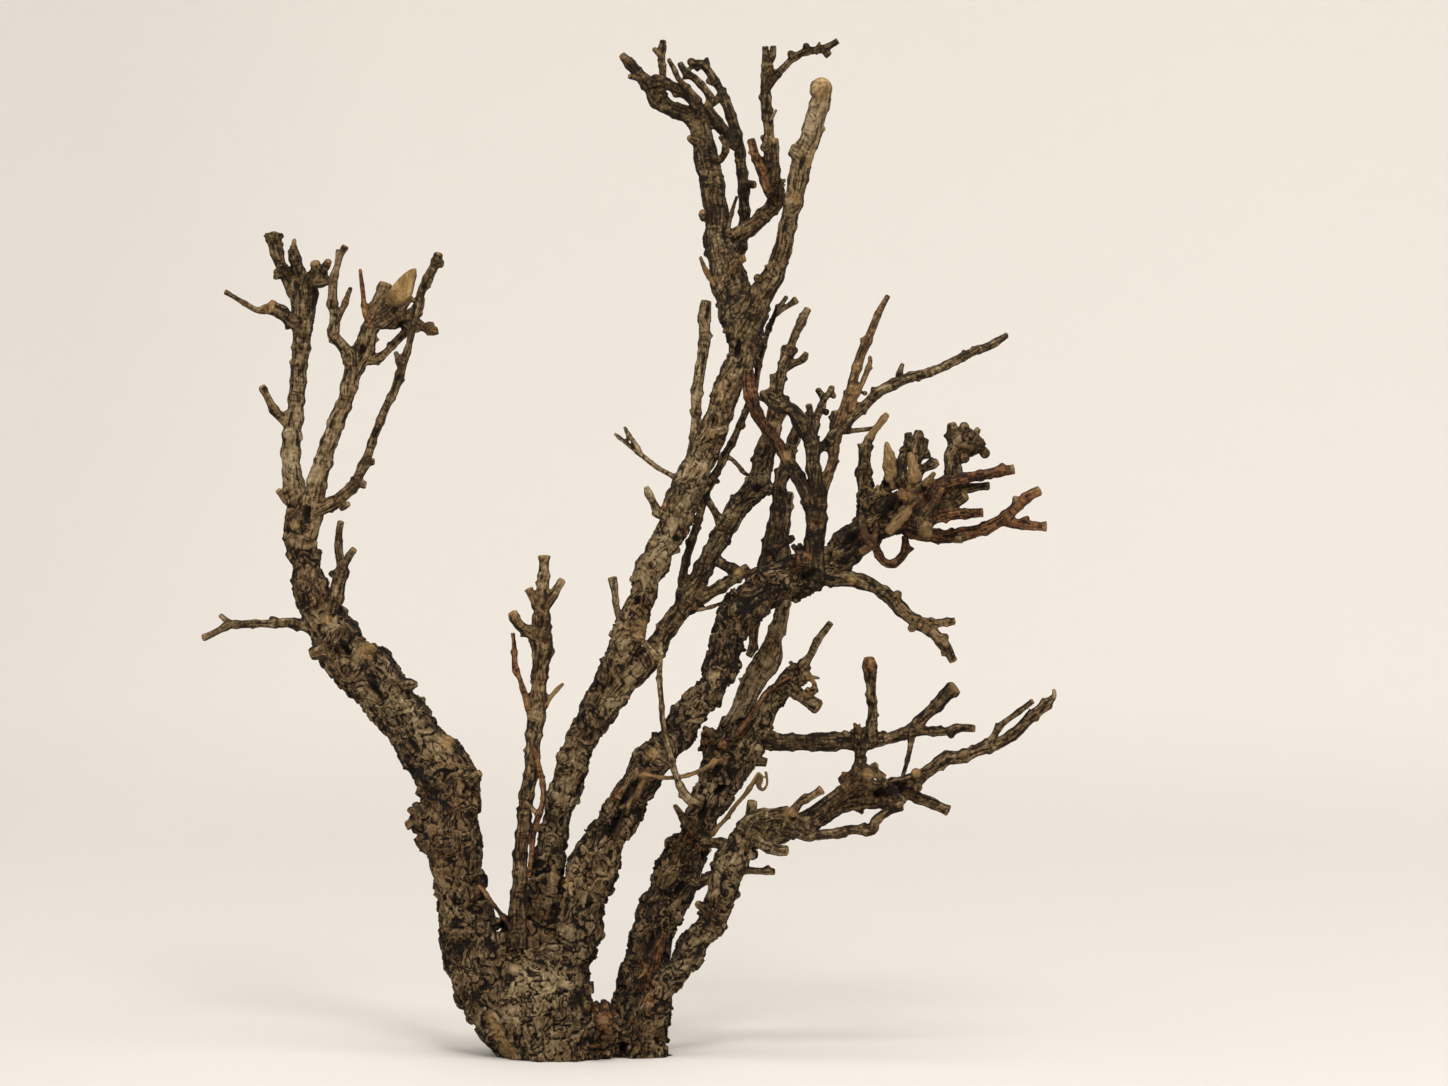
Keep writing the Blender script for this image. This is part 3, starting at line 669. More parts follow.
def grown(points, rng):
    """A run as it grew: smooth between stations, swaying, swollen at its nodes."""
    thick = max(r for _, r in points)
    fine = spline(points, min(0.0012, max(0.0006, thick * 0.5)))
    phase = rng.uniform(0, 40)
    gap = rng.uniform(6.0, 10.0) * MM
    out, run = [], 0.0
    for i, (at, r) in enumerate(fine):
        if i:
            run += (at - fine[i - 1][0]).length
        sway = noise.noise_vector(at * 160.0 + Vector((phase, 0, 0))) * min(r, 0.004) * SWAY
        twig = 1.0 - smooth_step(0.0022, 0.0045, r)
        k = (run / gap + phase) % 1.0
        node = math.exp(-((k - 0.5) * gap / (0.9 * MM)) ** 2)
        ring = 0.5 + 0.5 * math.sin(run / RING + 3.0 * noise.noise(Vector((run * 300.0, phase, 0))))
        swell = 1.0 + twig * (0.26 * node + 0.07 * ring) + 0.10 * noise.noise(Vector((run * 130.0, phase, 7)))
        out.append((at + sway, r * swell))
    return out


def buds(fine, barky, rng, lumps):
    """Buds, spurs and bark burls along a grown run."""
    run, due, turn = 0.0, rng.uniform(2, 6) * MM, rng.uniform(0, 6.28)
    whole = sum((b[0] - a[0]).length for a, b in zip(fine, fine[1:]))
    for (a, ra), (b, rb) in zip(fine, fine[1:]):
        run += (b - a).length
        if run < due or run > whole - BUD_FREE or (b - a).length < 1e-7:
            continue
        way = (b - a).normalized()
        side = way.cross(Vector((0, 1, 0)))
        side = side.normalized() if side.length > 0.1 else Vector((1, 0, 0))
        over = way.cross(side)
        turn += rng.uniform(1.6, 3.0)
        out = side * math.cos(turn) + over * math.sin(turn)
        bark = barky * smooth_step(0.0022, 0.0055, rb)
        if bark > 0.3:
            size = rng.uniform(0.7, 1.9) * MM * (0.6 + 0.5 * bark)
            lumps.append((b + out * (rb - size * 0.9), b + out * (rb + size * rng.uniform(0.10, 0.75))
                          + way * size * rng.uniform(-0.5, 1.3), size * 1.25, size * rng.uniform(0.6, 0.95)))
            due = run + rng.uniform(1.2, 3.6) * MM * (1.6 - bark)
        elif rb > 0.0008:
            size = min(rb * 0.62, 0.0011) * rng.uniform(0.7, 1.15)
            long = size * rng.uniform(0.5, 1.5)
            lumps.append((b + out * rb * 0.6, b + out * (rb + long * 0.6) + way * long, size * 1.2, size * 0.6))
            due = run + rng.uniform(3.0, 8.0) * MM
        else:
            due = run + 3 * MM


# %% [markdown]
# Growing the whole piece: every run of every limb, then the knots of dead spurs, which sit where
# many shoots broke off short at one place.

# %%
ROUTES = {}           # for each limb: its runs and the lumps on them
SAMPLES = []          # along every run: place, direction, radius, run so far, bark, rust, tan, tone
ENDS = []             # free cut ends: place, direction, radius
ROOT_DEPTH = 0.005    # m, a limb's first run starts this deep in the wood that it grows from
rng = random.Random(SEED)
for node, rows in STEMS.items():
    ROUTES[node] = []
    for index, row in enumerate(rows):
        points = route(row[0], row[1])
        rust, tan = TINTS[row[2]] if len(row) > 2 else (0.0, 0.0)
        barky = along_limb(BARKY.get(node, TIGHT_BARK), row[1][0][1], *SPAN[node])
        if len(points) == 1:
            ROUTES[node].append((points, []))
            at, r = points[0]
            tone = along_limb(TONE[node], at.z / MM, *SPAN[node])
            SAMPLES.append((at, Vector((0, 0, 1)), r, 0.0, barky, rust, tan, tone))
            continue
        if index == 0 and node != "stump":
            (a, ra), (b, rb) = points[0], points[1]
            points = [(a - (b - a).normalized() * ROOT_DEPTH, ra)] + points
        fine = grown(points, rng)
        lumps = []
        buds(fine, barky, rng, lumps)
        ROUTES[node].append((fine, lumps))
        run = 0.0
        for i, (at, r) in enumerate(fine):
            a = fine[max(i - 1, 0)][0]
            b = fine[min(i + 1, len(fine) - 1)][0]
            run += (at - fine[i - 1][0]).length if i else 0.0
            scaly = along_limb(BARKY.get(node, TIGHT_BARK), at.z / MM, *SPAN[node])
            tone = along_limb(TONE[node], at.z / MM, *SPAN[node])
            SAMPLES.append((at, (b - a).normalized(), r, run, scaly, rust, tan, tone))
        if node != "stump" and fine[-1][1] > 0.0009:
            ENDS.append((fine[-1][0], (fine[-1][0] - fine[-min(3, len(fine))][0]).normalized(), fine[-1][1]))
for node, across, up, spread, count, thick in KNOTS:
    middle, lumps = place(across, up, depth_near(node, across, up) - KNOT_NEAR), []
    for k in range(count):
        way = Vector((rng.uniform(-1, 1), rng.uniform(-1, 0.6), rng.uniform(-0.8, 1))).normalized()
        reach = spread * rng.uniform(0.7, 1.12) * MM
        size = thick * rng.uniform(0.6, 1.1) * MM
        lean = Vector((rng.uniform(-0.3, 0.3), rng.uniform(-0.3, 0.3), rng.uniform(-0.3, 0.3)))
        tip = middle + (way + lean * 0.5).normalized() * reach
        lumps.append((middle + way * reach * 0.35, tip, size * 1.15, size * rng.uniform(0.55, 1.0)))
        tint = rng.choice(((0.0, 0.0), (0.0, 0.0), (0.55, 0.0), (0.25, 0.25)))
        tone = along_limb(TONE[node], up, *SPAN[node])
        SAMPLES.append((tip, way, size, 0.0, 0.25, *tint, tone - 0.05))
    ROUTES[node].append(([(middle, spread * 0.30 * MM)], []))
    ROUTES[node].append((None, lumps))
print("samples along the runs:", len(SAMPLES), "free ends:", len(ENDS))


def tree_of(rows):
    """A search tree over rows that start with a place."""
    tree = kdtree.KDTree(len(rows))
    for i, s in enumerate(rows):
        tree.insert(s[0], i)
    tree.balance()
    return tree


# a twig's root inside a thick limb doesn't show, so the limb's skin doesn't take its marks
THICK_ROWS = [s for s in SAMPLES if s[2] > 0.0024]
THICK_TREE = tree_of(THICK_ROWS)
THICKEST = 0.019          # m, no run is thicker, so none further off can hide a root


def buried(sample):
    for co, i, dist in THICK_TREE.find_range(sample[0], THICKEST):
        other = THICK_ROWS[i]
        if other[2] > sample[2] * 1.3 and dist < other[2] - sample[2] * 0.25:
            return True
    return False


SAMPLES = [s for s in SAMPLES if not buried(s)]
BY_SIZE = [[s for s in SAMPLES if low <= s[2] < high]
           for low, high in ((0.0, 0.002), (0.002, 0.0042), (0.0042, 0.0075), (0.0075, 1.0))]
TREES = [tree_of(rows) for rows in BY_SIZE]
print("samples that show, thin to thick:", [len(rows) for rows in BY_SIZE])
END_TREE = tree_of(ENDS)

# %% [markdown]
# The wood's mass: each run is a poly curve with a round bevel and filled ends, made a mesh; buds and
# bark lumps are small tapered plugs. A voxel remesh grows one skin over them, as the real wood has
# one skin over its forks, with no seam where a twig leaves its limb.

# %%
THICK_RUN = 0.003         # m, a run over this radius gets more sides


def linked(name, data):
    """A new object in the scene."""
    obj = bpy.data.objects.new(name, data)
    bpy.context.scene.collection.objects.link(obj)
    return obj


def run_mesh(bm, fine):
    """One run as a round, tapered rod with closed ends."""
    curve = bpy.data.curves.new("run", "CURVE")
    curve.dimensions = "3D"
    curve.bevel_depth = 1.0
    curve.bevel_resolution = 4 if max(r for _, r in fine) > THICK_RUN else 2
    curve.use_fill_caps = True
    line = curve.splines.new("POLY")
    line.points.add(len(fine) - 1)
    for p, (at, r) in zip(line.points, fine):
        p.co = (at.x, at.y, at.z, 1.0)
        p.radius = r
    obj = linked("run", curve)
    bpy.context.view_layer.update()
    mesh = bpy.data.meshes.new_from_object(obj.evaluated_get(bpy.context.evaluated_depsgraph_get()))
    bm.from_mesh(mesh)
    bpy.data.objects.remove(obj)
    bpy.data.curves.remove(curve)
    bpy.data.meshes.remove(mesh)


def plug(bm, a, b, ra, rb):
    """A tapered plug from a to b."""
    way = b - a
    if way.length < 1e-5:
        return
    made = bmesh.ops.create_cone(bm, cap_ends=True, segments=7, radius1=ra, radius2=rb, depth=way.length)
    turn = way.to_track_quat("Z", "Y").to_matrix().to_4x4()
    bmesh.ops.transform(bm, matrix=turn, verts=made["verts"])
    bmesh.ops.translate(bm, verts=made["verts"], vec=(a + b) / 2)


def wood_mass(name, nodes):
    """All runs and lumps of some limbs under one skin."""
    bm = bmesh.new()
    for node in nodes:
        for fine, lumps in ROUTES[node]:
            if fine and len(fine) == 1:
                at, r = fine[0]
                ball = bmesh.ops.create_icosphere(bm, subdivisions=2, radius=r)
                bmesh.ops.translate(bm, verts=ball["verts"], vec=at)
                continue
            if fine:
                run_mesh(bm, fine)
            for a, b, ra, rb in lumps:
                plug(bm, a, b, ra, rb)
    bmesh.ops.remove_doubles(bm, verts=bm.verts, dist=1e-6)
    mesh = bpy.data.meshes.new(name)
    bm.to_mesh(mesh)
    bm.free()
    obj = linked(name, mesh)
    bpy.ops.object.select_all(action="DESELECT")
    obj.select_set(True)
    bpy.context.view_layer.objects.active = obj
    mod = obj.modifiers.new("skin", "REMESH")
    mod.mode = "VOXEL"
    mod.voxel_size = VOXEL
    mod.adaptivity = 0.0
    bpy.ops.object.modifier_apply(modifier=mod.name)
    return obj

# %% [markdown]
# The bark: on thick limbs it has dried into curled scales 3 to 4 mm apart, with dark cracks between
# them and ledges where whole flakes came off; on thinner ones it is tight, with grain along the
# limb and wrinkles across it.

# %%
PLATE = 7.0 * MM          # size of the ledges
CURL = 3.4 * MM           # spacing of the curled scales
LEDGES = 2.2              # the ledge count runs from 0 to twice this, with this as its middle


def scaly_bark(p):
    """Height, metres, crack share and lightness of the curled scales and the ledges at p."""
    warp = noise.noise_vector(p * 210.0)
    q = Vector((p.x, p.y, p.z * 0.8)) / CURL + warp * 1.25
    curl = noise.noise(q)
    fine_curl = noise.noise(q * 2.05 + Vector((5, 3, 1)))
    line = 1.0 - smooth_step(0.015, 0.11, abs(curl))
    fine_line = 1.0 - smooth_step(0.015, 0.13, abs(fine_curl))
    step = (noise.noise(p / PLATE + warp * 0.5) + 1.0) * LEDGES
    rise = step - math.floor(step)
    ledge = math.floor(step) + smooth_step(0.0, 0.16, rise)
    edge = 1.0 - smooth_step(0.03, 0.13, abs(rise - 0.05))
    rim = smooth_step(0.10, 0.16, rise) * (1.0 - smooth_step(0.18, 0.42, rise))
    height = (0.00050 * curl + 0.00014 * fine_curl - 0.00050 * line - 0.00010 * fine_line
              + 0.00080 * (ledge - LEDGES) - 0.00050 * edge)
    light = (0.09 + 0.12 * curl + 0.22 * rim + 0.26 * noise.noise(p * 95.0)
             + 0.12 * noise.noise(p * 200.0))
    return height, max(0.35 * line, 1.2 * edge), light


def relief_at(p, sample):
    """Height of the bark over the mass at p, metres, its lightness, and the bark's coordinates."""
    at, way, r, run, barky = sample[:5]
    d = p - at
    side = way.cross(Vector((0, 1, 0)))
    side = side.normalized() if side.length > 0.15 else Vector((1, 0, 0))
    over = way.cross(side)
    angle = math.atan2(d.dot(over), d.dot(side))
    round_x, round_y = math.cos(angle) * r, math.sin(angle) * r
    along = run + d.dot(way)
    bark = barky * smooth_step(0.0018, 0.0050, r)
    height, crack, shade = 0.0, 0.0, 0.0
    if bark > 0.02:
        height, crack, shade = (bark * v for v in scaly_bark(p))
    tight = 1.0 - 0.7 * bark
    grain = noise.noise(Vector((round_x * 1500, round_y * 1500, along * 130)))
    grain2 = noise.noise(Vector((round_x * 3200, round_y * 3200, along * 420)))
    wrinkle = noise.noise(Vector((round_x * 260, round_y * 260, along * 1150)))
    size = min(1.0, r / 0.0032)
    height += tight * size * (0.00018 * grain + 0.00009 * grain2 + 0.00013 * wrinkle)
    height += 0.10 * min(r, 0.006) * noise.noise(p * 190.0)
    crack = max(crack, tight * smooth_step(0.15, 0.65, -grain) * 0.75)
    shade += tight * (0.26 * grain + 0.14 * wrinkle + 0.1 * grain2) - 0.42 * crack
    return height, shade, (round_x / MM, round_y / MM, along / MM)


def nearest(p):
    """The run whose skin p lies on, looked up among thin, middling and thick runs."""
    best, score = None, 1e9
    for rows, tree in zip(BY_SIZE, TREES):
        for co, index, dist in tree.find_n(p, 2):
            d = dist - rows[index][2]
            if d < score:
                best, score = rows[index], d
    return best


# rotted hollows and pits on the viewer's side: across, up, half width, half length, lean, depth
HOLLOWS = [(11, 82, 1.9, 7.5, 60, 2.6), (15.5, 92.5, 1.7, 6.0, 55, 2.4), (20.5, 101, 1.2, 4.0, 50, 1.6),
           (13, 5, 1.5, 3.2, 90, 4.0), (17.8, 157, 1.3, 2.0, 60, 1.4), (-75.4, 242, 1.4, 2.1, 68, 1.2),
           (58.7, 195, 1.5, 1.7, 0, 1.1), (31, 178, 1.2, 1.5, 0, 0.7), (-27.5, 46.5, 2.0, 3.5, 60, 1.6),
           (-7.5, 60, 1.2, 6.0, 85, 2.0), (103, 190, 2.2, 3.5, 70, 2.2), (112, 194, 1.6, 3.0, 20, 2.0),
           (24, 66, 1.2, 4.0, 70, 1.4), (40, 85, 1.8, 4.0, 80, 1.8), (46, 92, 1.5, 3.0, 40, 1.6),
           (49, 80, 1.3, 2.6, 10, 1.4), (22, 40, 1.3, 4.5, 75, 1.4), (103, 94, 2.2, 6.5, 18, 2.4),
           (-44, 56, 1.0, 3.5, 85, 1.0), (-58, 108, 1.2, 3.5, 130, 1.2), (-71, 126, 1.6, 4.0, 125, 1.6),
           (-82, 141, 1.4, 4.0, 120, 1.5), (-95, 187, 1.6, 3.0, 100, 1.2), (-63, 250, 1.2, 2.4, 60, 1.2),
           (52, 243, 1.2, 4.0, 80, 1.2), (64, 254, 1.4, 5.0, 80, 1.4), (76, 166, 1.6, 4.0, 30, 1.6),
           (90, 178, 1.5, 4.0, 45, 1.6), (45, 100, 1.6, 4.0, 65, 1.6), (32, 59, 1.5, 3.5, 60, 1.6)]
HOLLOWS_AT = []
for across, up, wide, long, lean, deep in HOLLOWS:
    mid = place(across, up, -4.0)
    HOLLOWS_AT.append((mid.x, mid.z, wide * MM, long * MM, math.radians(lean), deep * MM))


print("hollows:", len(HOLLOWS_AT))

# %% [markdown]
# Dressing a skin: each point is moved along its normal by the relief and the hollows, saw cuts are
# left smooth, and what the wood looks like there is kept on the points for the material. Sides that
# face the front or the back have bleached in the sun.

# %%
MARKS = ("relief", "rust", "pale", "cut", "barky", "tone")      # numbers kept on each point
CUT_REACH = 1.7           # how far round a free end its saw cut is looked for, in radii
CUT_BACK = 0.0006         # m, how far behind the end's middle the cut may lie


def keep_marks(mesh, values, bark_at):
    """Write the marks and the bark's own coordinates onto the points."""
    for name, numbers in zip(MARKS, values):
        mesh.attributes.new(name, "FLOAT", "POINT").data.foreach_set("value", numbers)
    mesh.attributes.new("bark_at", "FLOAT_VECTOR", "POINT").data.foreach_set("vector", bark_at)
    mesh.shade_smooth()


def dress(obj):
    """Bark, hollows and marks on one skin."""
    mesh = obj.data
    normals = [v.normal.copy() for v in mesh.vertices]
    count = len(mesh.vertices)
    relief, coords = [0.0] * count, [0.0] * (3 * count)
    rusts, pales, cuts, barks, tones = ([0.0] * count for _ in range(5))
    for i, v in enumerate(mesh.vertices):
        p = v.co.copy()
        s = nearest(p)
        height, shade, bark_at = relief_at(p, s)
        for x, z, wide, long, lean, deep in HOLLOWS_AT:
            if abs(p.x - x) < long and abs(p.z - z) < long and normals[i].y < 0.25:
                u = (p.x - x) * math.cos(lean) + (p.z - z) * math.sin(lean)
                w = -(p.x - x) * math.sin(lean) + (p.z - z) * math.cos(lean)
                far = math.hypot(u / long, w / wide) + 0.25 * noise.noise(p * 700.0)
                if far < 1.0:
                    hole = smooth_step(1.0, 0.55, far)
                    height -= deep * hole
                    shade -= 0.55 * hole
        cut = 0.0
        co, index, dist = END_TREE.find(p)
        end_at, end_way, end_r = ENDS[index]
        if dist < end_r * CUT_REACH:
            beyond = (p - end_at).dot(end_way)
            facing = normals[i].dot(end_way)
            if beyond > -CUT_BACK and facing > 0.55:
                cut = smooth_step(0.55, 0.8, facing)
                height *= 1.0 - 0.85 * cut
        height = max(-0.55 * s[2], height)
        p += normals[i] * height
        if p.z < 0.0:
            p.z = 0.0
        v.co = p
        relief[i] = 0.5 + shade
        coords[3 * i:3 * i + 3] = bark_at
        bleached = smooth_step(0.0, 0.80, abs(normals[i].y))
        rusts[i], pales[i], cuts[i], tones[i] = s[5], s[6], cut, s[7] + 0.30 * bleached - 0.23
        barks[i] = s[4] * smooth_step(0.0018, 0.005, s[2])
    keep_marks(mesh, (relief, rusts, pales, cuts, barks, tones), coords)
    mesh.update()

# %% [markdown]
# Each stretch of wood becomes one piece: massed, skinned, barked, tied to the body and told which
# solids it stands for.

# %%
WOOD = {}
for name, (nodes, slot) in PIECES.items():
    piece = wood_mass(name, nodes)
    dress(piece)
    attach(piece, "root")
    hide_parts(*nodes)
    WOOD[name] = piece
    print(name, "triangles:", sum(len(p.vertices) - 2 for p in piece.data.polygons))

# %% [markdown]
# Painted places: on a real branch the weather strips bark to straw-coloured wood here and there,
# cut knots stay tan, and iron-rich lichen turns some lumps orange-brown. Each place is a spot
# (across, up, radius) in the same millimetres, on the side that faces the viewer.

# %%
SPOTS = {
    "pale": [(80.6, 331, 4.0), (64.4, 314.5, 1.7), (-13.8, 173, 2.0), (-24.7, 153.2, 2.0), (6.6, 14.3, 1.5),
             (126.6, 128, 2.4), (69.6, 84.7, 2.2), (80.8, 92.8, 1.6), (155.3, 194.8, 2.0), (157.4, 182, 1.9),
             (146.6, 201.9, 2.0), (68.3, 206.3, 1.9), (90.7, 163.5, 1.5), (-130, 144, 1.4), (-67.5, 265.5, 2.4),
             (-47, 109, 2.6), (-74, 140, 3.2), (-88, 151, 2.4), (23, 104.5, 2.4), (-6.5, 61, 1.7),
             (47, 102.8, 1.5), (52.6, 166.6, 1.9), (-7.3, 164.4, 1.6), (-19.3, 161.2, 1.6), (112.7, 98.3, 1.7),
             (116, 181, 3.0), (-32, 15, 1.8), (-30.5, 11.5, 2.0), (-29, 8.5, 2.2), (-27, 5.5, 2.3),
             (-25, 3, 2.3), (71.5, 294, 2.2), (-99, 183, 1.6), (96, 98, 2.0), (132.9, 113.4, 1.5),
             (20.6, 31, 0.8), (21, 26, 0.7)],
    "rust": [(-107.5, 258, 3.0), (143, 190, 2.0), (150, 182.6, 1.8), (21, 33, 1.8), (20.6, 29, 2.0),
             (20.8, 25, 1.9), (21.5, 21, 1.6), (47, 108, 2.6), (27, 190, 2.2), (72, 170, 3.4), (76, 173, 2.6),
             (7, 18.5, 2.6), (4, 18, 2.0), (8.6, 16, 2.0), (5, 15.5, 2.2), (7, 12, 2.2), (96, 179, 3.6),
             (104, 171, 4.0), (108, 193, 4.5), (120, 196, 4.5), (-87, 272, 2.0), (96.8, 135.5, 3.2),
             (77, 128, 3.0), (97, 176, 3.0), (56.5, 224, 3.0), (36, 76, 2.6), (40, 110, 2.6), (10, 92, 3.2),
             (26, 38, 3.0)],
}


def paint(obj, what, spots):
    """Raise one mark inside the spots, with ragged edges, on points that face the viewer."""
    values = [0.0] * len(obj.data.vertices)
    layer = obj.data.attributes[what].data
    layer.foreach_get("value", values)
    middles = [(place(x, z, 0.0), r * MM) for x, z, r in spots]
    for i, v in enumerate(obj.data.vertices):
        away = EYE_DISTANCE / (EYE_DISTANCE + v.co.y)
        x = EYE_ACROSS * MM + (v.co.x - EYE_ACROSS * MM) * away
        z = EYE_HEIGHT + (v.co.z - EYE_HEIGHT) * away
        for mid, r in middles:
            d = math.hypot(x - mid.x, z - mid.z)
            if d < r * 1.25 and v.normal.y < 0.35:
                edge = r * (1.0 + 0.35 * noise.noise(v.co * 900.0))
                values[i] = max(values[i], smooth_step(edge * 1.15, edge * 0.7, d))
    layer.foreach_set("value", values)


for obj in WOOD.values():
    for what, spots in SPOTS.items():
        paint(obj, what, spots)
print("painted spots:", {what: len(spots) for what, spots in SPOTS.items()})

# %% [markdown]
# The saw face: near the left crown a side branch was sawn off at a slant, which left a smooth tan
# disc, pointed at the top, with a thin dark rim of bark. It narrows into the stub behind it.

# %%
LEAF_SIZE = 0.84
# outline of the sawn face in its own plane, mm from its middle: a leaf with its point up to the right
LEAF = [(x * LEAF_SIZE, z * LEAF_SIZE) for x, z in (
    (-5.8, -5.2), (-3.2, -6.9), (0.2, -6.6), (2.8, -4.4), (4.4, -1.4), (5.2, 2.2), (5.8, 5.6), (6.4, 8.2),
    (5.2, 8.6), (2.4, 7.4), (-1.2, 4.2), (-4.2, 0.6), (-6.0, -2.8))]
FACE_AT = place(-62.6, 262.6, -15.5)
FACE_WAY = Vector((-0.20, -0.90, 0.30)).normalized()
# loops of the disc, back to front: how far out, as a share of the outline, and how far forward, mm
FACE_LOOPS = [(0.60, -4.6), (0.86, -2.8), (1.0, 0.35), (0.97, 0.75), (0.92, 0.85)] + [
    (0.92 * share, 0.85 - 0.25 * (1 - share)) for share in (0.75, 0.5, 0.25)]


def rounded(points, steps=4):
    """The outline as a closed smooth curve through its corners."""
    out, count = [], len(points)
    for k in range(count):
        a, b, c, d = (points[(k + j - 1) % count] for j in range(4))
        for step in range(steps):
            u = step / steps
            out.append(tuple(
                0.5 * (2 * b[i] + (c[i] - a[i]) * u + (2 * a[i] - 5 * b[i] + 4 * c[i] - d[i]) * u * u
                       + (3 * b[i] - a[i] - 3 * c[i] + d[i]) * u ** 3) for i in (0, 1)))
    return out


def saw_face():
    """The sawn disc, with its marks."""
    right = (Vector((1, 0, 0)) - FACE_WAY * FACE_WAY.x).normalized()
    over = FACE_WAY.cross(right)
    over = over if over.z > 0 else -over
    bm = bmesh.new()
    loops = [[bm.verts.new(FACE_AT + (right * x + over * z) * out * MM + FACE_WAY * near * MM)
              for x, z in rounded(LEAF)] for out, near in FACE_LOOPS]
    for low, high in zip(loops, loops[1:]):
        for k in range(len(low)):
            bm.faces.new((low[k - 1], low[k], high[k], high[k - 1]))
    bm.faces.new(loops[-1])
    bm.faces.new(loops[0][::-1])
    bmesh.ops.recalc_face_normals(bm, faces=bm.faces)
    mesh = bpy.data.meshes.new("saw_face")
    bm.to_mesh(mesh)
    bm.free()
    cuts, tones, bark_at = [], [], []
    for v in mesh.vertices:
        d = (v.co - FACE_AT) / MM
        x, z = d.dot(right), d.dot(over)
        cuts.append(1.0 if d.dot(FACE_WAY) > 0.3 else 0.0)
        tones.append(-0.30 * smooth_step(0.5, -6.5, z + 0.4 * x) - 0.10 * smooth_step(5.0, 8.5, z))
        bark_at += (x * 0.5, z * 0.15, 0.0)
    zero = [0.0] * len(cuts)
    keep_marks(mesh, ([0.5] * len(cuts), zero, zero, cuts, zero, tones), bark_at)
    return linked("saw_face", mesh)


face = saw_face()
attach(face, "root")
WOOD["saw_face"] = face
print("saw face points:", len(face.data.vertices))

# %% [markdown]
# The means for a look: a few short functions that make one node each of a material.

# %%
def linear(hex_colour):
    """sRGB hex to the linear RGBA that shaders want."""
    out = []
    for k in (0, 2, 4):
        c = int(hex_colour[k:k + 2], 16) / 255.0
        out.append(c / 12.92 if c <= 0.04045 else ((c + 0.055) / 1.055) ** 2.4)
    return (*out, 1.0)


def feed(tree, socket, value):
    """Give a socket a value, or link it to another node's output."""
    if isinstance(value, bpy.types.NodeSocket):
        tree.links.new(value, socket)
    else:
        socket.default_value = value


def add(tree, kind, **sockets):
    """One node, its inputs given by name."""
    node = tree.nodes.new("ShaderNode" + kind)
    for name, value in sockets.items():
        feed(tree, node.inputs[name], value)
    return node


def attribute(tree, name, output="Fac"):
    node = add(tree, "Attribute")
    node.attribute_name = name
    return node.outputs[output]


def pattern(tree, where, scale, detail, rough=0.5, twist=0.0):
    """A cloudy noise, about 0.5 in the middle."""
    return add(tree, "TexNoise", Vector=where, Scale=scale, Detail=detail, Roughness=rough,
               Distortion=twist).outputs["Fac"]


def ramp(tree, value, stops):
    """Colours along a value: each stop has a place and sRGB hex, or a number for a grey."""
    node = add(tree, "ValToRGB", Fac=value)
    while len(node.color_ramp.elements) < len(stops):
        node.color_ramp.elements.new(0.5)
    for element, (at, colour) in zip(node.color_ramp.elements, stops):
        element.position = at
        element.color = linear(colour) if isinstance(colour, str) else (colour, colour, colour, 1.0)
    return node.outputs["Color"]


def mix(tree, share, a, b, how="MIX"):
    """Two colours mixed by a share."""
    node = add(tree, "Mix")
    node.data_type = "RGBA"
    node.blend_type = how
    for index, value in ((0, share), (6, a), (7, b)):
        feed(tree, node.inputs[index], value)
    return node.outputs[2]


def calc(tree, how, *values, clamp=False):
    """Arithmetic on numbers and outputs."""
    node = add(tree, "Math")
    node.operation = how
    node.use_clamp = clamp
    for socket, value in zip(node.inputs, values):
        feed(tree, socket, value)
    return node.outputs[0]


def off_middle(tree, value):
    """How far a value is from 0.5."""
    return calc(tree, "ABSOLUTE", calc(tree, "SUBTRACT", value, 0.5))


def dark_line(tree, value, width):
    """1 where a noise crosses its middle, which draws thin curly lines; 0 away from them."""
    near = add(tree, "MapRange", Value=off_middle(tree, value),
               **{"From Max": width, "To Min": 1.0, "To Max": 0.0})
    near.interpolation_type = "SMOOTHSTEP"
    return near.outputs["Result"]


# %% [markdown]
# The wood's look: weathered bark is grey-brown and dead matt, nearly black down in its cracks and
# ashen on the rims of its plates; tight bark is olive-grey with fine grain; sawn ends are straw
# with a hint of growth rings; some twigs have gone the colour of rust.

# %%
STOPS = (0.05, 0.25, 0.45, 0.66, 0.92)      # from down in the cracks up to the rims
BARK = ("140e07", "3a2c1b", "6a563a", "8a7759", "b09c79")
TIGHT = ("1c140b", "46361f", "7b6748", "a89473", "ccba96")
RUSTY = [(0.04, "20130a"), (0.24, "56361e"), (0.50, "8a5f38"), (0.85, "b9935f")]
BARE = [(0.25, "4c3a25"), (0.5, "8b6e48"), (0.75, "ba9966")]
SAWN = [(0.05, "4c3820"), (0.3, "775b35"), (0.5, "9c7c4c"), (0.7, "b89d6c")]
WARM = "d8b48a"                             # lichen and dust, over patches of the bark


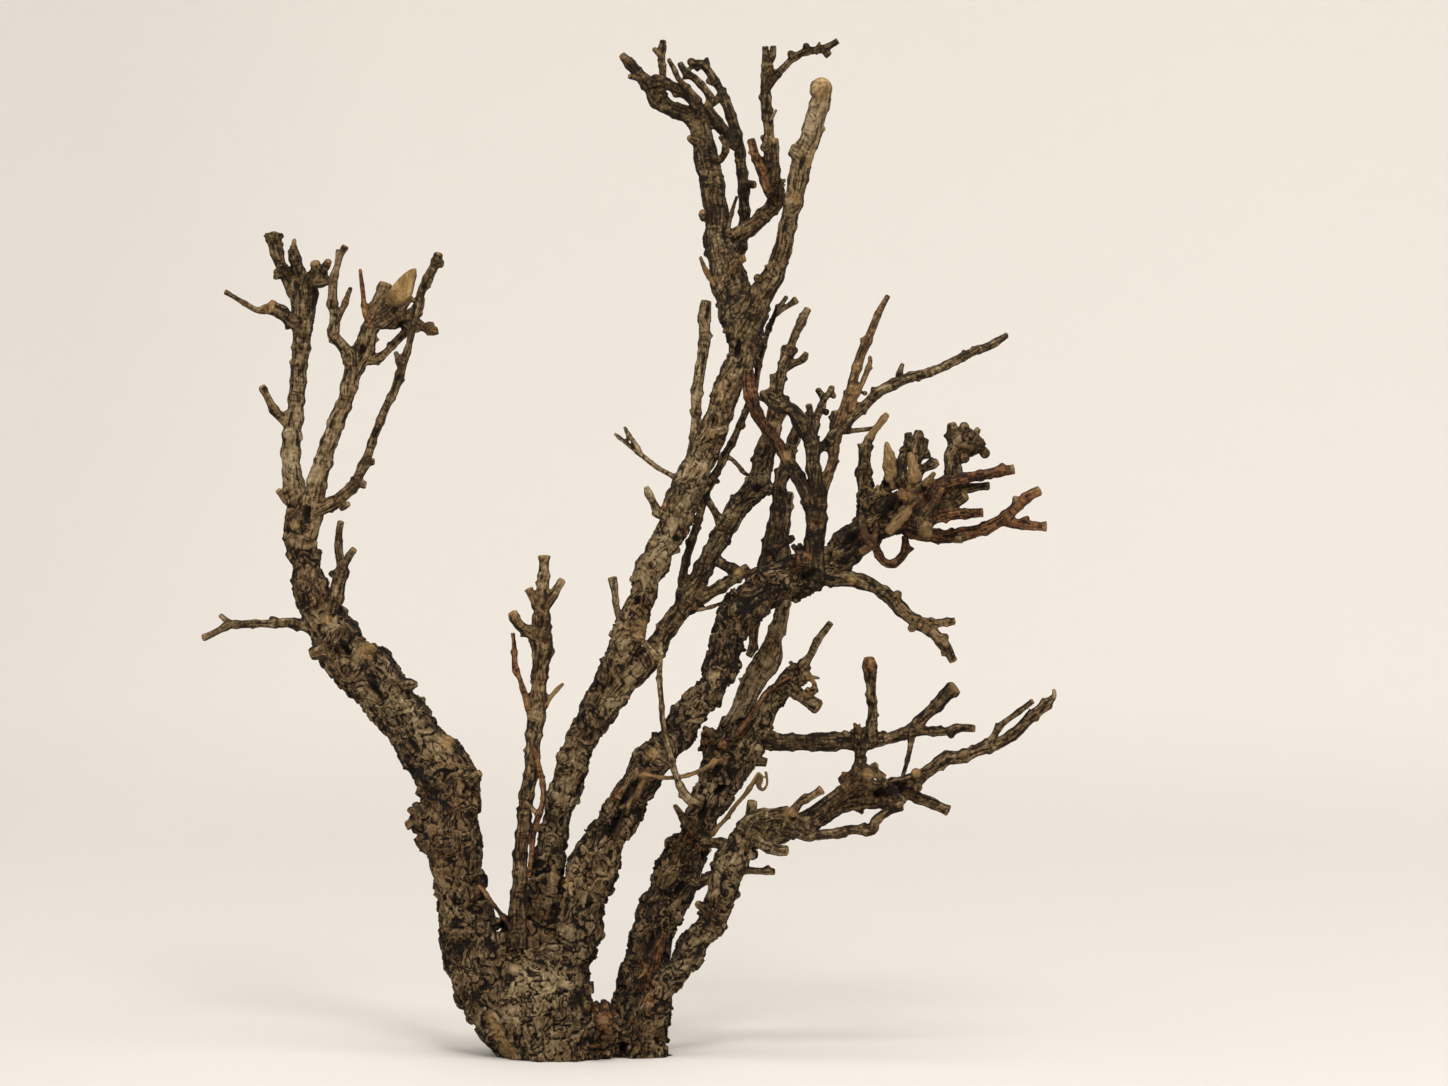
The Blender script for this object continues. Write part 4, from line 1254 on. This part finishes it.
def wood_material():
    mat = bpy.data.materials.new("weathered_driftwood")
    mat.use_nodes = True
    t = mat.node_tree
    t.nodes.clear()
    bsdf = add(t, "BsdfPrincipled", Roughness=0.86, **{"Specular IOR Level": 0.22})
    add(t, "OutputMaterial", Surface=bsdf.outputs[0])
    where = add(t, "TexCoord").outputs["Object"]
    along = attribute(t, "bark_at", "Vector")
    relief, barky, tone = (attribute(t, name) for name in ("relief", "barky", "tone"))
    stretch = add(t, "Mapping", Vector=along, Scale=(1.0, 1.0, 0.11)).outputs[0]
    squash = add(t, "Mapping", Vector=along, Scale=(0.35, 0.35, 1.0)).outputs[0]
    patches = pattern(t, where, 85.0, 4.0, 0.6)
    specks = pattern(t, where, 900.0, 3.0, 0.7)
    grain = pattern(t, stretch, 1.7, 4.0, 0.65)
    bands = pattern(t, squash, 0.75, 3.0, 0.6)
    curls = pattern(t, where, 430.0, 1.5, 0.5, 1.9)
    scales = pattern(t, where, 950.0, 1.0, 0.5, 1.5)

    # the curled scales: nested arcs, broken here and there, with pale rims beside them
    swirl = pattern(t, where, 105.0, 2.0, 0.42, 0.9)
    off = off_middle(t, calc(t, "FRACT", calc(t, "MULTIPLY", swirl, 7.0)))
    arcs = ramp(t, off, [(0.0, 1.0), (0.07, 0.85), (0.20, 0.0)])
    broken = ramp(t, pattern(t, where, 240.0, 1.0), [(0.42, 0.0), (0.52, 1.0)])
    arcs = calc(t, "MULTIPLY", arcs, broken)
    rims = ramp(t, off, [(0.20, 0.0), (0.32, 1.0), (0.45, 0.2)])
    lines = calc(t, "ADD", calc(t, "MULTIPLY", dark_line(t, curls, 0.030), 0.12),
                 calc(t, "MULTIPLY", dark_line(t, scales, 0.045), 0.10))
    lines = calc(t, "ADD", lines, calc(t, "MULTIPLY", arcs, 0.48))
    lines = calc(t, "SUBTRACT", lines, calc(t, "MULTIPLY", rims, 0.16))

    # how light the wood is at a point: its relief and tone, the noises, less the lines
    level = calc(t, "ADD", calc(t, "MULTIPLY_ADD", relief, 1.14, -0.245), tone)
    for source, amount in ((patches, 0.46), (specks, 0.28), (grain, 0.86), (bands, 0.50), (curls, 0.25)):
        level = calc(t, "ADD", level, calc(t, "MULTIPLY", calc(t, "SUBTRACT", source, 0.5), amount))
    rough_part = calc(t, "MULTIPLY_ADD", barky, 0.75, 0.25)
    level = calc(t, "SUBTRACT", level, calc(t, "MULTIPLY", lines, rough_part), clamp=True)

    colour = mix(t, barky, ramp(t, level, list(zip(STOPS, TIGHT))), ramp(t, level, list(zip(STOPS, BARK))))
    warm = ramp(t, pattern(t, where, 38.0, 2.0), [(0.45, 0.0), (0.75, 0.6)])
    colour = mix(t, warm, colour, mix(t, 1.0, colour, linear(WARM), "MULTIPLY"))
    bare = calc(t, "ADD", calc(t, "MULTIPLY", grain, 0.7), calc(t, "MULTIPLY", relief, 0.4))
    sawn = calc(t, "ADD", pattern(t, along, 0.9, 3.0), tone)
    for mark, strength, value, stops in (("rust", 0.85, level, RUSTY), ("pale", 0.76, bare, BARE),
                                         ("cut", 0.88, sawn, SAWN)):
        share = calc(t, "MULTIPLY", attribute(t, mark), strength)
        colour = mix(t, share, colour, ramp(t, value, stops))
    feed(t, bsdf.inputs["Base Color"], colour)

    fine = calc(t, "ADD", calc(t, "MULTIPLY", grain, 0.9), calc(t, "MULTIPLY", specks, 0.8))
    fine = calc(t, "ADD", fine, calc(t, "MULTIPLY", bands, 0.5))
    fine = calc(t, "SUBTRACT", fine, calc(t, "MULTIPLY", lines, 1.6))
    bump = add(t, "Bump", Height=fine, Strength=0.85, Distance=0.0008)
    feed(t, bsdf.inputs["Normal"], bump.outputs["Normal"])
    return mat


WOOD_LOOK = wood_material()
for obj in WOOD.values():
    obj.data.materials.clear()
    obj.data.materials.append(WOOD_LOOK)
print("wood look:", len(WOOD_LOOK.node_tree.nodes), "nodes on", len(WOOD), "pieces")

# %% [markdown]
# The studio: the wood stands on a pale sweep that rises into a curved wall, under a broad soft
# light from above, so only a faint shadow lies at its foot. The sweep is a turned bowl, so every
# side of the wood has the same backdrop.

# %%
FLOOR = 1.75              # m, the floor's radius, where the wall's bend starts
BEND = 1.0                # m, radius of the bend
WALL_TOP = 2.4            # m
SWEEP_DOWN = 0.0002       # m, how far the floor lies under the wood, so that they don't flicker
# the paper's tone by its distance from the wood, as a share of 2 m, and from the left to the right
BY_DISTANCE = [(0.03, "d9d5d0"), (0.10, "d2cec9"), (0.22, "d6d2cd"), (0.45, "dedad5"), (0.8, "efebe6"),
               (1.0, "f4f0eb")]
BY_SIDE = [(0.0, "f3f3f3"), (0.25, "fbfbfb"), (1.0, "ffffff")]


def studio():
    bm = bmesh.new()
    profile = [(0.25 * k, 0.0) for k in range(8)]
    for k in range(1, 13):
        a = math.radians(90 * k / 12)
        profile.append((FLOOR + BEND * math.sin(a), BEND * (1.0 - math.cos(a))))
    profile += [(FLOOR + BEND, 1.4), (FLOOR + BEND, WALL_TOP)]
    turned = [bm.verts.new((x, 0.0, z - SWEEP_DOWN)) for x, z in profile]
    edges = [bm.edges.new(pair) for pair in zip(turned, turned[1:])]
    bmesh.ops.spin(bm, geom=turned + edges, cent=(0, 0, 0), axis=(0, 0, 1), angle=math.radians(360),
                   steps=64, use_merge=True)
    bmesh.ops.remove_doubles(bm, verts=bm.verts, dist=1e-5)
    bmesh.ops.recalc_face_normals(bm, faces=bm.faces)
    mesh = bpy.data.meshes.new("sweep")
    bm.to_mesh(mesh)
    bm.free()
    mesh.shade_smooth()
    obj = linked("sweep", mesh)
    mat = bpy.data.materials.new("pale_paper")
    mat.use_nodes = True
    t = mat.node_tree
    bsdf = t.nodes["Principled BSDF"]
    where = add(t, "TexCoord").outputs["Object"]
    away = add(t, "VectorMath", Vector=where)
    away.operation = "LENGTH"
    tone = ramp(t, calc(t, "MULTIPLY", away.outputs["Value"], 0.5), BY_DISTANCE)
    right = add(t, "SeparateXYZ", Vector=where).outputs["X"]
    across = ramp(t, calc(t, "MULTIPLY_ADD", right, 0.8, 0.5), BY_SIDE)
    for name, value in (("Base Color", mix(t, 1.0, tone, across, "MULTIPLY")), ("Roughness", 0.9),
                        ("Specular IOR Level", 0.1)):
        feed(t, bsdf.inputs[name], value)
    mesh.materials.append(mat)


def area_light(name, at, aim, size, power, colour):
    """A round lamp at a place, turned toward its aim."""
    data = bpy.data.lights.new(name, "AREA")
    data.shape = "DISK"
    data.size = size
    data.energy = power
    data.color = colour
    obj = linked(name, data)
    obj.location = at
    obj.rotation_euler = (Vector(aim) - Vector(at)).to_track_quat("-Z", "Y").to_euler()


studio()
world = bpy.data.worlds.new("studio_air")
bpy.context.scene.world = world
world.use_nodes = True
world.node_tree.nodes["Background"].inputs[0].default_value = linear("fffdfa")
world.node_tree.nodes["Background"].inputs[1].default_value = 1.0
area_light("overhead", (0.2, -0.45, 1.9), (0.03, 0.0, 0.17), 1.0, 13.0, (1.0, 0.98, 0.95))
area_light("key", (0.12, -0.75, 0.95), (0.02, 0.0, 0.19), 0.30, 5.5, (1.0, 0.97, 0.93))
bpy.context.scene.view_settings.view_transform = "Standard"

# %% [markdown]
# The eye: level, 1.2 m in front, with a lens that takes in 492 mm across at the wood, as the
# photograph does.

# %%
SENSOR = 36.0             # mm
lens = bpy.data.cameras.new("eye")
lens.sensor_width = SENSOR
lens.lens = SENSOR * EYE_DISTANCE / PICTURE_WIDE
lens.clip_start = 0.05
eye = linked("eye", lens)
eye.location = (EYE_ACROSS * MM, -EYE_DISTANCE, EYE_HEIGHT)
eye.rotation_euler = (math.radians(90), 0, 0)
bpy.context.scene.camera = eye
print("lens, mm:", round(lens.lens, 1))
